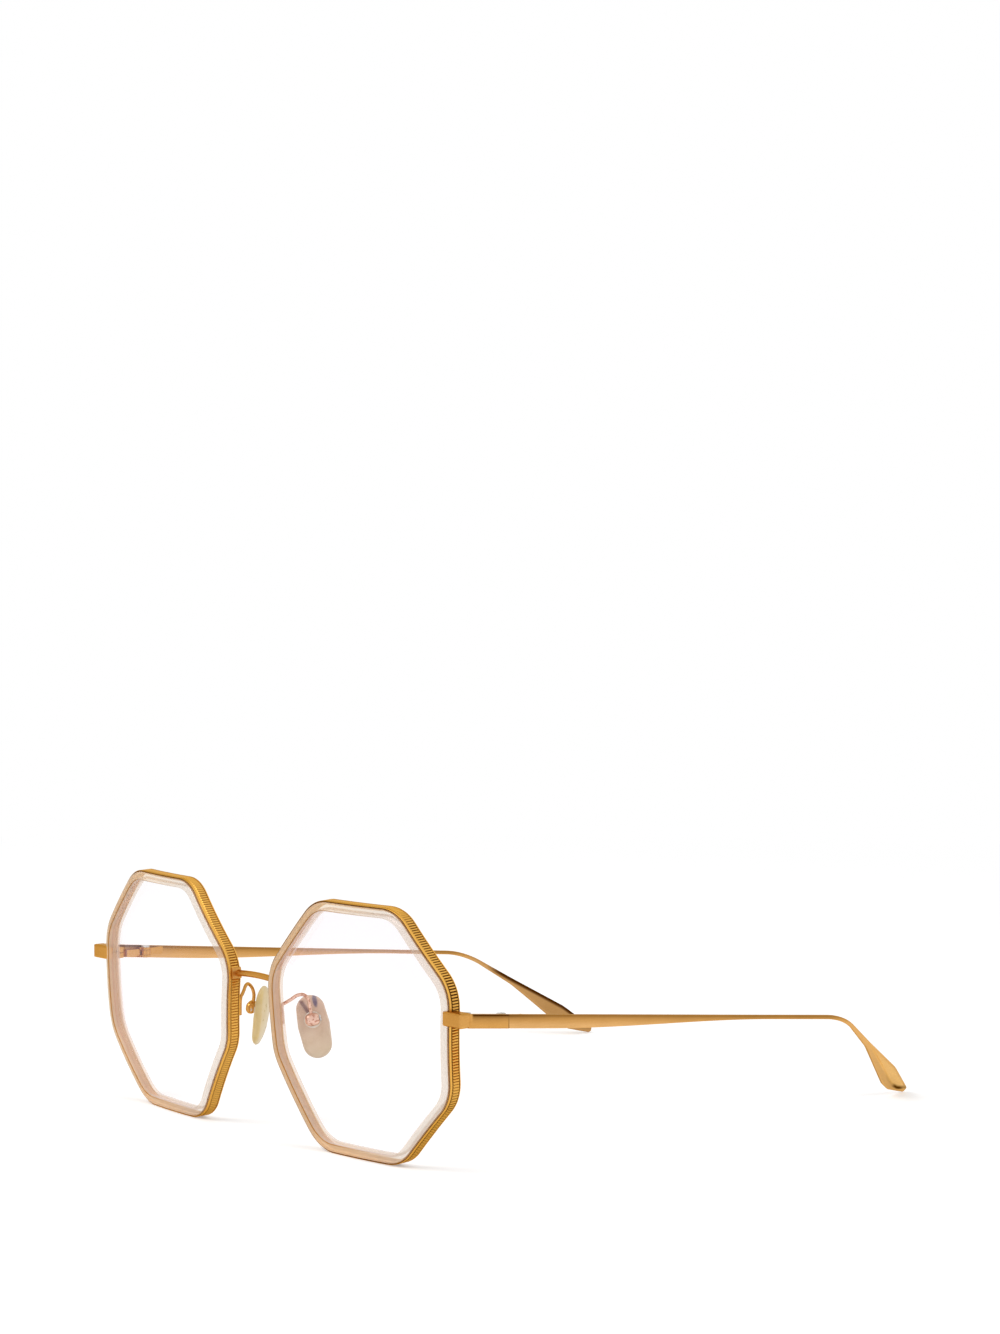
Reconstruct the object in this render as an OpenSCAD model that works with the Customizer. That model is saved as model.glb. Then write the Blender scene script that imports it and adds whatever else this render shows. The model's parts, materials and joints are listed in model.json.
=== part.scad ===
// Octagonal metal eyeglasses, standing open on a table.
// X runs across the face, with +X on the wearer's left, Y runs back along the
// temples and Z is up. The origin is on the table, under the middle of the object.

/* [Eye shape] */
// Width of each octagonal eye, at the inner ring's outer edge
eye_w = 56; // [48:0.1:60]
// Height of each eye
eye_h = 53; // [46:0.5:58]
// Gap between the two eyes at their nearest sides
between_eyes = 14.6; // [13:0.1:20]
// Top flat, from the eye's centre towards the temple
top_flat_out = 13; // [10:0.1:15]
// Top flat, from the eye's centre towards the nose
top_flat_in = 12; // [10:0.1:15]
// Bottom flat, from the eye's centre towards the temple
foot_flat_out = 11.9; // [9:0.1:14]
// Bottom flat, from the eye's centre towards the nose
foot_flat_in = 13.5; // [10:0.1:15]
// Upper end of the temple side's flat, above the eye's centre
side_up = 11.5; // [9:0.1:13]
// Lower end of the temple side's flat, below the eye's centre
side_down = 11.1; // [9:0.1:13]
// Upper end of the nose side's flat, above the eye's centre
nose_up = 10.1; // [9.5:0.1:12]
// Lower end of the nose side's flat, below the eye's centre
nose_down = 7.7; // [6:0.1:11]
// How far the temple side's flat leans in at its lower end
side_lean = 0.7; // [0:0.1:1.5]
// How far the nose side's flat leans in at its lower end
nose_lean = 1.5; // [0:0.1:2.5]
// Radius of the octagon's corners
corner_r = 9.5; // [6:0.5:10]
// Radius of the sphere that the lenses, rings and rims follow
base_r = 147; // [120:1:260]
// Turn of each eye towards the temple, in degrees
wrap = 4.7; // [2:0.1:8]
// Forward lean of the eyes' tops, in degrees
lean = 2.6; // [0:0.1:5]

/* [Rims] */
// Depth of the metal rim, front to back
rim_depth = 2.85; // [2.4:0.05:3.4]
// Wall of the metal rim, outside the inner ring
rim_wall = 0.35; // [0.3:0.05:0.8]
// How far the rim sits back from the ring's front
rim_setback = 0.35; // [0.25:0.05:0.5]
// Width of the shelf inside the rim that the ring sits on
shelf_w = 0.45; // [0.3:0.05:0.6]
// Depth of the ring's flange in front of that shelf
flange_depth = 0.95; // [0.8:0.05:1.2]
// Width of the cut in the rim, closed by the rim screw
cut_w = 0.25; // [0.15:0.05:0.3]
// Gap between the ring and the metal round it
ring_gap = 0.04; // [0.02:0.01:0.08]

/* [Inner rings and lenses] */
// Width of the clear ring, seen from the front
ring_w = 1.8; // [1.6:0.05:2.6]
// Depth of the clear ring, front to back
ring_depth = 3.2; // [2.9:0.05:3.6]
// Thickness of the lens
lens_t = 1.3; // [1:0.1:1.6]
// How far the lens is set back from the ring's front
lens_setback = 1; // [0.8:0.05:1.2]
// How far the lens's edge reaches into the ring's groove
lens_seat = 0.5; // [0.4:0.05:0.6]
// Gap round the lens's edge in the groove
lens_gap = 0.04; // [0.02:0.01:0.08]

/* [Bridge] */
// Thickness of the bridge bar
bridge_d = 1.35; // [1:0.05:1.5]
// Height of the bridge's middle above the eyes' centres
bridge_z = 8.1; // [6.5:0.1:8.5]
// Rise of the bridge's arch
bridge_rise = 0.35; // [0.2:0.05:1]
// Thickness of the pads that join the bridge to the rims
lug_t = 0.45; // [0.35:0.05:0.6]
// Height of those pads
lug_h = 2.4; // [2:0.1:2.8]

/* [Nose pads] */
// Distance of each nose pad's centre from the middle of the bridge
pad_x = 9.7; // [8.5:0.1:10.5]
// Distance of each nose pad's centre behind the eyes
pad_y = 10.9; // [10:0.1:11.5]
// Distance of each nose pad's centre below the eyes' centres
pad_drop = 2.7; // [2:0.1:4]
// Length of a nose pad
pad_len = 13.7; // [12:0.1:15]
// Width of a nose pad
pad_w = 6.8; // [6:0.1:7.5]
// Thickness of a nose pad in its middle
pad_t = 2; // [1.8:0.1:2.2]
// Radius of the nose pad's crowned face
pad_crown_r = 25; // [22:1:40]
// Turn of the nose pads' faces towards the nose, in degrees
pad_yaw = 36; // [20:1:38]
// Backward slope of the nose pads, in degrees
pad_slope = 11.7; // [8:0.1:14]
// Outward slope of the nose pads, in degrees
pad_splay = 10; // [0:0.5:12]
// Thickness of the wire that carries each nose pad
arm_d = 0.75; // [0.6:0.05:0.9]

/* [Pad box] */
// Height of the metal box that holds the pad's eye
box_h = 2.7; // [2.4:0.1:3]
// Width of the box, along the pad screw
box_w = 3.2; // [2.8:0.1:3.4]
// Thickness of the box's walls
box_wall = 0.4; // [0.35:0.05:0.5]
// Height of the pad screw above the pad's centre
box_up = 1.5; // [1.4:0.1:2.2]
// Distance of the pad screw from the pad's outer face
box_out = 1.3; // [1.2:0.05:1.5]
// Space between the box's mouth and the pad
box_gap = 0.45; // [0.4:0.05:0.6]
// Radius of the pad screw
pad_screw_r = 0.4; // [0.3:0.05:0.45]

/* [Endpieces] */
// Height of the endpiece's front block
block_h = 3.1; // [2.9:0.1:3.4]
// Depth of the block, front to back
block_depth = 2.9; // [2.6:0.1:3.2]
// How far the block laps over the ring
block_lap = 1.5; // [1:0.1:1.7]
// How far the block reaches out past the ring
block_reach = 4.5; // [4.3:0.1:5.5]
// How far the block stands in front of the ring
block_proud = 0.45; // [0.3:0.05:0.6]
// Radius of the block's rounded edges
block_round = 0.6; // [0.3:0.1:0.8]
// Height of the block's middle above the eyes' centres
block_z = 6.1; // [5.5:0.1:6.5]
// Length of the endpiece's arm, from the block to the hinge
arm_len = 9.9; // [9.5:0.1:13]
// Step from the block's outer face to the arm's
arm_step = 0.1; // [0.05:0.05:0.2]
// Step from the block's top down to the arm's, where the arm starts
arm_below = 0.32; // [0.1:0.02:0.4]
// Radius of the two halves of the rim's closing barrel
barrel_r = 1.05; // [0.9:0.05:1.15]
// Height of the closing barrel, both halves
barrel_h = 2.4; // [2.2:0.1:3]
// Radius of the rim screw
rim_screw_r = 0.45; // [0.35:0.05:0.55]

/* [Hinges] */
// Radius of the hinge's knuckles
knuckle_r = 1.1; // [1:0.05:1.2]
// Height of the middle knuckle
knuckle_mid = 1.1; // [1:0.05:1.2]
// Height of the upper and of the lower knuckle
knuckle_end = 0.55; // [0.5:0.05:0.6]
// Length of each hinge leaf
leaf_len = 5; // [4:0.1:6]
// Radius of the hinge screw
hinge_screw_r = 0.5; // [0.4:0.05:0.55]
// Radial clearance of each screw in its holes
screw_gap = 0.05; // [0.03:0.01:0.08]
// Gap between the knuckles, and between the arm and the temple
hinge_gap = 0.07; // [0.05:0.01:0.1]

/* [Temples] */
// Height of the temple's bar at the hinge
bar_h = 2.85; // [2.7:0.05:3.2]
// Thickness of the bar at the hinge
bar_t = 1.3; // [1.1:0.05:1.5]
// Thickness of the temple's thin wire
wire_d = 0.95; // [0.8:0.05:1.1]
// Length along which the bar keeps its full height
bar_full = 12; // [5:1:20]
// Distance from the hinge to where the bar has become a wire
bar_end = 75; // [60:1:85]
// Distance from the hinge to the bend behind the ear
bend_at = 97.4; // [92:0.1:105]
// Downward slope of the temple, in degrees
bar_slope = 5.93; // [4:0.01:7]
// Radius of the bend
bend_r = 20; // [12:1:25]
// Slope of the tip, in degrees below level
tip_drop = 29.1; // [27:0.1:35]
// Inward turn of the tip, in degrees
tip_turn = 18.6; // [8:0.1:20]
// Twist of the tip's flat face, in degrees
tip_twist = 24; // [10:1:30]
// Thickness of the flat tip
tip_t = 1.1; // [0.9:0.1:1.4]
// Radius of the tip's end
tip_end_r = 0.9; // [0.7:0.1:1.2]
// Distance of the end's middle below the tip's middle line, across the tip
tip_end_down = 2.1; // [1.8:0.1:2.4]
// Radius of the tip's lower corner
tip_low_r = 1.7; // [1.2:0.1:2]
// Distance from the end to the lower corner, along the tip
tip_low_back = 5.9; // [4.5:0.1:7]
// Distance of the lower corner below the end, across the tip
tip_low_down = 1; // [0.5:0.1:1.5]
// Radius of the tip's upper shoulder
tip_shoulder_r = 2.5; // [2:0.1:3]
// Distance from the end to the shoulder, along the tip
tip_shoulder_back = 9; // [7:0.1:11]
// Half the width of the tip's neck, where it starts to widen
tip_neck_r = 0.75; // [0.6:0.05:0.9]
// Distance from the bend to the neck, along the tip
tip_neck_at = 16; // [12:0.5:18]

/* [Hidden] */
$fn = 48;
ball_fn = 180;
ring_fn = 120;
// Straight sides sit this far inside the curves that they run into
side_inset = 0.01;
// Knees are this much thicker than the wire they join, on the pad arms and the temples
arm_knee = 0.2;
temple_knee = 0.04;
// Knees are turned, so that no wire runs through the pole of a ball
ball_turn = [55, 0, 35];
// Cuts run this far past what they cut
past = 1;
// Each screw ends this far short of the hole's end
screw_short = 0.05;

gold = [0.80, 0.60, 0.28];
steel = [0.72, 0.72, 0.70];
crystal = [0.95, 0.85, 0.76, 0.8];
glass = [0.92, 0.94, 0.96, 0.35];
pad_clear = [0.93, 0.90, 0.66, 0.8];

// Corners of the sharp octagon, counter-clockwise, from the temple side's upper corner.
// Their first number runs from the nose to the temple and their second one up.
half_w = eye_w / 2;
half_h = eye_h / 2;
eye_corners = [
  [half_w, side_up],
  [top_flat_out, half_h],
  [-top_flat_in, half_h],
  [-half_w, nose_up],
  [-half_w + nose_lean, -nose_down],
  [-foot_flat_in, -half_h],
  [foot_flat_out, -half_h],
  [half_w - side_lean, -side_down]
];
sides = len(eye_corners);
function next(i) = (i + 1) % sides;
function last(i) = (i + sides - 1) % sides;
function out_of(a, b) = let (d = b - a) [d.y, -d.x] / norm(d);
edge_out = [for (i = [0:sides - 1]) out_of(eye_corners[i], eye_corners[next(i)])];
// Centres of the rounded corners, which every inner and outer outline shares
corner_c = [
  for (i = [0:sides - 1])
    let (a = edge_out[last(i)], b = edge_out[i])
    eye_corners[i] - corner_r * (a + b) / (1 + a * b)
];
function outline_points(grow) = [
  for (i = [0:sides - 1], n = [edge_out[last(i)], edge_out[i]]) corner_c[i] + (corner_r + grow) * n
];

// A point of an eye, from its own width, height and depth behind the ring's front
eye_x = between_eyes / 2 + half_w;
function sag(u, v) = base_r - sqrt(base_r * base_r - u * u - v * v);
function eye_point(u, v, d) =
  let (y = d + sag(u, v))
  let (x_turned = u * cos(wrap) - y * sin(wrap), y_turned = u * sin(wrap) + y * cos(wrap))
  [
    eye_x + x_turned,
    y_turned * cos(lean) - v * sin(lean),
    y_turned * sin(lean) + v * cos(lean)
  ];

rim_front = rim_setback;
rim_back = rim_setback + rim_depth;
shelf_front = flange_depth;
foot_points = [for (p = outline_points(rim_wall)) eye_point(p.x, p.y, rim_front)];
stand_h = -min([for (p = foot_points) p.z]);

// Endpiece, hinge and temple places on the wearer's left side
side_edge = eye_point(half_w, block_z, 0);
block_front = side_edge.y - block_proud;
block_back = block_front + block_depth;
block_in = side_edge.x - block_lap;
block_outer = side_edge.x + block_reach;
arm_outer = block_outer - arm_step;
arm_inner = arm_outer - bar_t;
pin_y = block_back + arm_len;
pin_x = arm_inner - hinge_gap - knuckle_r;
arm_root_top = block_z + block_h / 2 - arm_below;
top_at_pin = arm_root_top - arm_len * tan(bar_slope);
hinge_z = top_at_pin - bar_h / 2;
function top_z(y) = top_at_pin - (y - pin_y) * tan(bar_slope);

// The closing barrel sits beside the arm, behind the block and a little low
barrel_from_arm = 0.45;
barrel_from_block = 0.08;
barrel_below_middle = 0.35;
barrel_x = arm_inner - barrel_r - barrel_from_arm;
barrel_y = block_back + barrel_r + barrel_from_block;
barrel_z = block_z - barrel_below_middle;
screw_head_h = 0.3;
screw_slot = 0.25;

// Bend and tip of the temple
wire_x = arm_outer - wire_d / 2;
bend_y = pin_y + bend_at;
bend_point = [wire_x, bend_y, top_z(bend_y) - wire_d / 2];
// Turns a point of the tip's own frame, with its length along Y and its flat face on X
function twisted(p) = [
  p.x * cos(tip_twist) + p.z * sin(tip_twist), p.y, -p.x * sin(tip_twist) + p.z * cos(tip_twist)
];
function dropped(p) = [
  p.x, p.y * cos(tip_drop) + p.z * sin(tip_drop), -p.y * sin(tip_drop) + p.z * cos(tip_drop)
];
function turned(p) = [
  p.x * cos(tip_turn) - p.y * sin(tip_turn), p.x * sin(tip_turn) + p.y * cos(tip_turn), p.z
];
function tip_point(p) = turned(dropped(twisted(p)));
tip_along = tip_point([0, 1, 0]);
tip_across = tip_point([0, 0, 1]);
tip_out = tip_point([1, 0, 0]);
tip_reach_down = tip_end_r * norm([tip_along.z, tip_across.z]) + abs(tip_out.z) * tip_t / 2;
// The tip is as long as it needs to be to touch the table
tip_len = (stand_h + bend_point.z - tip_reach_down - tip_end_down * tip_across.z) / -tip_along.z;
tip_end = bend_point + tip_len * tip_along - tip_end_down * tip_across;
tail_y = tip_end.y + tip_end_r * norm([tip_along.y, tip_across.y]) + abs(tip_out.y) * tip_t / 2;
face_y = min([for (p = outline_points(0)) eye_point(p.x, p.y, 0).y]);
middle_y = (tail_y + face_y) / 2;

// Bend between the sloping bar and the tip
bar_along = [0, cos(bar_slope), -sin(bar_slope)];
bend_angle = acos(bar_along * tip_along);
bend_tangent = bend_r * tan(bend_angle / 2);
bend_axis = cross(bar_along, tip_along) / sin(bend_angle);
bend_side = cross(bend_axis, bar_along);
bend_start = bend_point - bend_tangent * bar_along;
bend_middle = bend_start + bend_r * bend_side;
wire_start = [wire_x, pin_y + bar_end - 1, top_z(pin_y + bar_end - 1) - wire_d / 2];

// Nose pad places in the pad's own frame, with X away from the nose and Z up its length
pad_face_share = 0.45;
pad_face = pad_t * pad_face_share;
screw_out = pad_face + box_out;
box_mouth = pad_face + box_gap;
pad_centre = [pad_x, pad_y, -pad_drop];
function pad_sloped(p) = [
  p.x, p.y * cos(pad_slope) - p.z * sin(pad_slope), p.y * sin(pad_slope) + p.z * cos(pad_slope)
];
function pad_splayed(p) = [
  p.x * cos(pad_splay) - p.z * sin(pad_splay), p.y, p.x * sin(pad_splay) + p.z * cos(pad_splay)
];
function pad_turned(p) = [
  p.x * cos(pad_yaw) + p.y * sin(pad_yaw), -p.x * sin(pad_yaw) + p.y * cos(pad_yaw), p.z
];
function pad_point(p) = pad_centre + pad_turned(pad_sloped(pad_splayed(p)));

// Stands the object on the table
module standing() {
  translate([0, -middle_y, stand_h]) children();
}

module other_side() {
  mirror([1, 0, 0]) children();
}

module at_eye() {
  translate([eye_x, 0, 0])
    rotate([lean, 0, 0])
      rotate([0, 0, wrap])
        children();
}

// Outline drawn tight round circles, given counter-clockwise as [x, y, radius]
module tight_round(circles, fn) {
  n = len(circles);
  polygon([
    for (i = [0:n - 1])
      let (a = circles[i], b = circles[(i + 1) % n], across = [b.x - a.x, b.y - a.y])
      let (along = across / norm(across), s = (a.z - b.z) / norm(across))
      let (out = along * s + [along.y, -along.x] * sqrt(1 - s * s))
      for (c = [a, b]) [c.x, c.y] + (c.z - side_inset) * out
  ]);
  for (c = circles) {
    translate([c.x, c.y]) circle(r = c.z, $fn = fn);
  }
}

// Octagon with round corners, larger than the ring by grow
module eye_outline(grow) {
  tight_round([for (c = corner_c) [c.x, c.y, corner_r + grow]], ring_fn);
}

module eye_band(outer, inner) {
  difference() {
    eye_outline(outer);
    eye_outline(inner);
  }
}

// Pushes a flat shape back between two depths
module push_back(from, to) {
  translate([0, to, 0])
    rotate([90, 0, 0])
      linear_extrude(to - from)
        children();
}

module eye_ball(depth) {
  translate([0, base_r + depth, 0]) sphere(r = base_r, $fn = ball_fn);
}

// Part of a flat shape between two spheres, front and back
module curved(front, back) {
  difference() {
    intersection() {
      push_back(front - past, back + half_h / 3) children();
      eye_ball(front);
    }
    eye_ball(back);
  }
}

// Everything inside the rim's outline and in front of its back
module eye_front_space() {
  at_eye()
    difference() {
      push_back(-2 * past, half_h) eye_outline(rim_wall);
      eye_ball(rim_back);
    }
}

module rim() {
  color(gold)
    standing()
      at_eye()
        difference() {
          union() {
            curved(rim_front, rim_back) eye_band(rim_wall, 0);
            curved(shelf_front, rim_back) eye_band(0, -shelf_w);
          }
          translate([half_w / 2, 0, barrel_z - cut_w / 2]) cube([half_w, half_h, cut_w]);
          from_eye() block_notch(ring_gap);
        }
}

// Brings what is placed in the face's frame into the eye's own
module from_eye() {
  rotate([0, 0, -wrap])
    rotate([-lean, 0, 0])
      translate([-eye_x, 0, 0])
        children();
}

// Room for the endpiece's block where it laps over the rim and ring
block_lap_rise = 0.1;
module block_notch(gap) {
  translate([block_in - gap, block_front - past, block_z - block_h / 2 - gap])
    cube([block_reach + block_lap, past + block_proud + flange_depth - block_lap_rise + gap, block_h + 2 * gap]);
}

module ring() {
  color(crystal)
    standing()
      at_eye()
        difference() {
          union() {
            curved(0, shelf_front) eye_band(-ring_gap, -ring_w);
            curved(shelf_front, ring_depth) eye_band(-shelf_w - ring_gap, -ring_w);
          }
          curved(lens_setback - lens_gap, lens_setback + lens_t + lens_gap)
            eye_outline(lens_seat + lens_gap - ring_w);
          from_eye() block_notch(ring_gap);
        }
}

module lens() {
  color(glass)
    standing()
      at_eye()
        curved(lens_setback, lens_setback + lens_t)
          eye_outline(lens_seat - ring_w);
}

bridge_depth_share = 0.75;
bridge_y = eye_point(-half_w, bridge_z, rim_front + rim_depth * bridge_depth_share).y;
bridge_half = between_eyes / 2;
bridge_arc_r = (bridge_half * bridge_half + bridge_rise * bridge_rise) / (2 * bridge_rise);
bridge_sweep = 2 * asin(bridge_half / bridge_arc_r);

module bridge() {
  color(gold)
    standing()
      difference() {
        translate([0, bridge_y, bridge_z - bridge_arc_r])
          rotate([90, 0, 0])
            rotate([0, 0, 90 - bridge_sweep / 2])
              rotate_extrude(angle = bridge_sweep, $fn = 720)
                translate([bridge_arc_r, 0]) circle(d = bridge_d);
        for (m = [0, 1]) {
          mirror([m, 0, 0]) at_eye() push_back(-past, half_h) eye_outline(rim_wall + lug_t);
        }
      }
}

lug_from_front = 0.5;
lug_from_back = 0.15;
module bridge_lug() {
  color(gold)
    standing()
      at_eye()
        intersection() {
          curved(rim_front + lug_from_front, rim_back - lug_from_back) eye_band(rim_wall + lug_t, rim_wall);
          translate([-eye_w, -past, bridge_z - bridge_rise - lug_h / 2]) cube([half_w * 1.2, half_h, lug_h]);
        }
}

module rounded_rect(w, h, r) {
  x = w / 2 - r;
  y = h / 2 - r;
  tight_round([[x, y, r], [-x, y, r], [-x, -y, r], [x, -y, r]], $fn);
}

// Block with all its edges rounded, from its two opposite corners
module rounded_block(low, high, r) {
  size = high - low;
  translate((low + high) / 2)
    intersection() {
      linear_extrude(size.z, center = true) rounded_rect(size.x, size.y, r);
      rotate([90, 0, 0]) linear_extrude(size.y, center = true) rounded_rect(size.x, size.z, r);
      rotate([90, 0, 90]) linear_extrude(size.x, center = true) rounded_rect(size.y, size.z, r);
    }
}

// A flat piece drawn from the side, with Y to the right and Z up
module side_plate(x_inner, x_outer) {
  translate([x_inner, 0, 0])
    rotate([90, 0, 90])
      linear_extrude(x_outer - x_inner)
        children();
}

module endpiece() {
  arm_start = block_back - block_round;
  arm_stop = pin_y - hinge_gap / 2;
  color(gold)
    standing()
      difference() {
        union() {
          rounded_block(
            [block_in, block_front, block_z - block_h / 2],
            [block_outer, block_back, block_z + block_h / 2],
            block_round
          );
          side_plate(arm_inner, arm_outer)
            polygon([
              [arm_start, top_z(arm_start)],
              [arm_start, top_z(arm_start) - bar_h],
              [arm_stop, top_z(arm_stop) - bar_h],
              [arm_stop, top_z(arm_stop)]
            ]);
        }
        difference() {
          eye_front_space();
          block_notch(0);
        }
      }
}

// One half of the rim's closing barrel, with the neck that joins it to the rim's back
module closing_half(low, high) {
  neck_w = barrel_r * 1.5;
  color(gold)
    standing()
      difference() {
        union() {
          translate([barrel_x, barrel_y, low]) cylinder(r = barrel_r, h = high - low);
          translate([side_edge.x - ring_w / 2, barrel_y - neck_w / 2, low])
            cube([barrel_x - side_edge.x + ring_w / 2, neck_w, high - low]);
        }
        eye_front_space();
        translate([barrel_x, barrel_y, low - past])
          cylinder(r = rim_screw_r + screw_gap, h = high - low + 2 * past);
      }
}

module closing_upper() {
  closing_half(barrel_z + cut_w / 2, barrel_z + barrel_h / 2);
}

module closing_lower() {
  closing_half(barrel_z - barrel_h / 2, barrel_z - cut_w / 2);
}

// Upright screw with a slotted head; its head's underside is at the given height
module screw(r, below, head_r) {
  difference() {
    union() {
      translate([0, 0, -below]) cylinder(r = r, h = below + screw_head_h / 2);
      cylinder(r = head_r, h = screw_head_h);
    }
    translate([-head_r - past, -screw_slot / 2, screw_head_h / 2])
      cube([2 * head_r + 2 * past, screw_slot, screw_head_h]);
  }
}

rim_head_step = 0.2;
module rim_screws() {
  color(steel)
    standing()
      for (m = [0, 1]) {
        mirror([m, 0, 0])
          translate([barrel_x, barrel_y, barrel_z + barrel_h / 2])
            rotate([0, 0, 35])
              screw(rim_screw_r, barrel_h - screw_short, barrel_r - rim_head_step);
      }
}

knuckle_step = knuckle_mid / 2 + hinge_gap;
knuckle_top = knuckle_step + knuckle_end;
leaf_h = knuckle_mid + knuckle_end;

// A knuckle round the pin, joined to a leaf that runs forward along the arm
module knuckle(low, high) {
  translate([0, 0, low]) cylinder(r = knuckle_r, h = high - low);
  translate([0, -knuckle_back, low]) cube([arm_inner - pin_x, knuckle_back, high - low]);
}

leaf_out = 0.25;
knuckle_back = knuckle_r * 1.4;
module leaf() {
  leaf_t = arm_inner - pin_x - leaf_out;
  translate([leaf_out, -leaf_len, -leaf_h / 2]) cube([leaf_t, leaf_len - knuckle_back + past / 4, leaf_h]);
}

module pin_hole() {
  translate([0, 0, -bar_h]) cylinder(r = hinge_screw_r + screw_gap, h = 2 * bar_h);
}

module at_hinge() {
  standing() translate([pin_x, pin_y, hinge_z]) children();
}

module hinge_front() {
  color(gold)
    at_hinge()
      difference() {
        union() {
          knuckle(knuckle_step, knuckle_top);
          knuckle(-knuckle_top, -knuckle_step);
          leaf();
        }
        pin_hole();
      }
}

module hinge_rear() {
  color(gold)
    at_hinge()
      difference() {
        mirror([0, 1, 0]) {
          knuckle(-knuckle_mid / 2, knuckle_mid / 2);
          leaf();
        }
        pin_hole();
      }
}

hinge_head_step = 0.15;
module hinge_screws() {
  color(steel)
    for (m = [0, 1]) {
      mirror([m, 0, 0])
        at_hinge()
          translate([0, 0, knuckle_top])
            rotate([0, 0, -20])
              screw(hinge_screw_r, 2 * knuckle_top - screw_short, knuckle_r - hinge_head_step);
    }
}

// Height of the temple's bar at a distance behind the hinge
function ease(t) = t <= 0 ? 0 : t >= 1 ? 1 : t * t * (3 - 2 * t);
function height_at(s) = bar_h + (wire_d - bar_h) * ease((s - bar_full) / (bar_end - bar_full));
bar_steps = 20;
bar_start = hinge_gap / 2;
bar_s = [for (i = [0:bar_steps]) bar_start + (bar_end - bar_start) * i / bar_steps];

module temple_bar() {
  intersection() {
    side_plate(arm_outer - bar_t - past, arm_outer)
      polygon([
        for (s = bar_s) [pin_y + s, top_z(pin_y + s) - height_at(s)],
        [pin_y + bar_end, top_z(pin_y + bar_end)],
        [pin_y + bar_start, top_z(pin_y + bar_start)]
      ]);
    translate([0, 0, -eye_h])
      linear_extrude(2 * eye_h)
        polygon([
          [arm_inner, pin_y],
          [arm_inner, pin_y + leaf_len],
          [arm_outer - wire_d, pin_y + bar_end],
          [arm_outer, pin_y + bar_end],
          [arm_outer, pin_y]
        ]);
  }
}

// Straight round wire between two points
module wire_along(from, to, thick) {
  d = to - from;
  translate(from)
    rotate([0, atan2(norm([d.x, d.y]), d.z), atan2(d.y, d.x)])
      cylinder(d = thick, h = norm(d));
}

// Round wire through a row of points, with a knee at each but the first
module wire_through(points, thick, knee) {
  for (i = [1:len(points) - 1]) {
    wire_along(points[i - 1], points[i], thick);
    translate(points[i]) rotate(ball_turn) sphere(d = thick + knee);
  }
}

module temple_bend() {
  multmatrix([
    [-bend_side.x, bar_along.x, bend_axis.x, bend_middle.x],
    [-bend_side.y, bar_along.y, bend_axis.y, bend_middle.y],
    [-bend_side.z, bar_along.z, bend_axis.z, bend_middle.z]
  ])
    rotate_extrude(angle = bend_angle, $fn = 180)
      translate([bend_r, 0]) circle(d = wire_d);
}

// Flat tip, drawn in its own frame with its length along Y. Its upper edge sinks a little.
tip_sink = 0.25;
function below_edge(r) = wire_d / 2 - tip_sink - r;
module tip_plate() {
  rotate([90, 0, 90])
    linear_extrude(tip_t, center = true) {
      tight_round([
        [bend_tangent, 0, wire_d / 2],
        [tip_neck_at, below_edge(tip_neck_r), tip_neck_r - side_inset]
      ], $fn);
      tight_round([
        [tip_neck_at, below_edge(tip_neck_r), tip_neck_r],
        [tip_len - tip_low_back, -tip_end_down - tip_low_down, tip_low_r],
        [tip_len, -tip_end_down, tip_end_r],
        [tip_len - tip_shoulder_back, below_edge(tip_shoulder_r), tip_shoulder_r]
      ], $fn);
    }
}

module temple() {
  color(gold)
    standing() {
      temple_bar();
      wire_through([wire_start, bend_start], wire_d, temple_knee);
      temple_bend();
      translate(bend_point)
        rotate([0, 0, tip_turn])
          rotate([-tip_drop, 0, 0])
            rotate([0, tip_twist, 0])
              tip_plate();
    }
}

// Wire of the pad arm, from the rim's back over its loop to the pad box
function nose_side(v) = -half_w + nose_lean * (nose_up - v) / (nose_up + nose_down);
foot_back = rim_back + (arm_d + arm_knee) / 2;
function foot_point(v) = eye_point(nose_side(v) - rim_wall + arm_d / 2, v, foot_back);
foot_high = 2.5;
foot_low = -1.8;
arm_foot = foot_point(foot_high);
// The arm rises above the box and leans away from the pad, so that the pad can rock
arm_straight = 1.7;
arm_rise = 3.3;
arm_top = 4.1;
arm_flare = 0.4;
arm_crest = [-0.3, -0.5, 0];
arm_reach = [2.1, 3.0, 1.3];
arm_turn = [0.8, 1.3, 0.6];
function above_box(z) =
  pad_point([screw_out + arm_flare * max(0, z - arm_straight), 0, box_up + box_h / 2 + z]);
arm_points = [
  above_box(0),
  above_box(arm_straight),
  above_box(arm_rise),
  above_box(arm_top) + arm_crest,
  arm_foot + arm_reach,
  arm_foot + arm_turn,
  arm_foot,
  foot_point(foot_low)
];

module pad_arm() {
  color(gold)
    standing()
      wire_through(arm_points, arm_d, arm_knee);
}

module at_pad() {
  translate(pad_centre)
    rotate([0, 0, -pad_yaw])
      rotate([pad_slope, 0, 0])
        rotate([0, -pad_splay, 0])
          children();
}

// The pad box seen along its screw: round at its back and flat at its mouth
module box_outline(r, mouth) {
  intersection() {
    union() {
      translate([screw_out, box_up]) circle(r = r);
      translate([mouth, box_up - r + side_inset]) square([screw_out - mouth, 2 * (r - side_inset)]);
    }
    translate([mouth, box_up - box_h]) square(2 * box_h);
  }
}

module box_across(r, mouth, w) {
  translate([0, w / 2, 0])
    rotate([90, 0, 0])
      linear_extrude(w)
        box_outline(r, mouth);
}

module across_box(r, from, to) {
  translate([screw_out, to, box_up]) rotate([90, 0, 0]) cylinder(r = r, h = to - from);
}

eye_r = 0.7;
eye_in_box = 0.1;
eye_half = box_w / 2 - box_wall - eye_in_box;
eye_neck_h = 1;

module pad_box() {
  color(gold)
    standing()
      at_pad()
        difference() {
          box_across(box_h / 2, box_mouth, box_w);
          box_across(box_h / 2 - box_wall, box_mouth - past / 2, box_w - 2 * box_wall);
          across_box(pad_screw_r + screw_gap, -box_w, box_w);
        }
}

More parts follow.
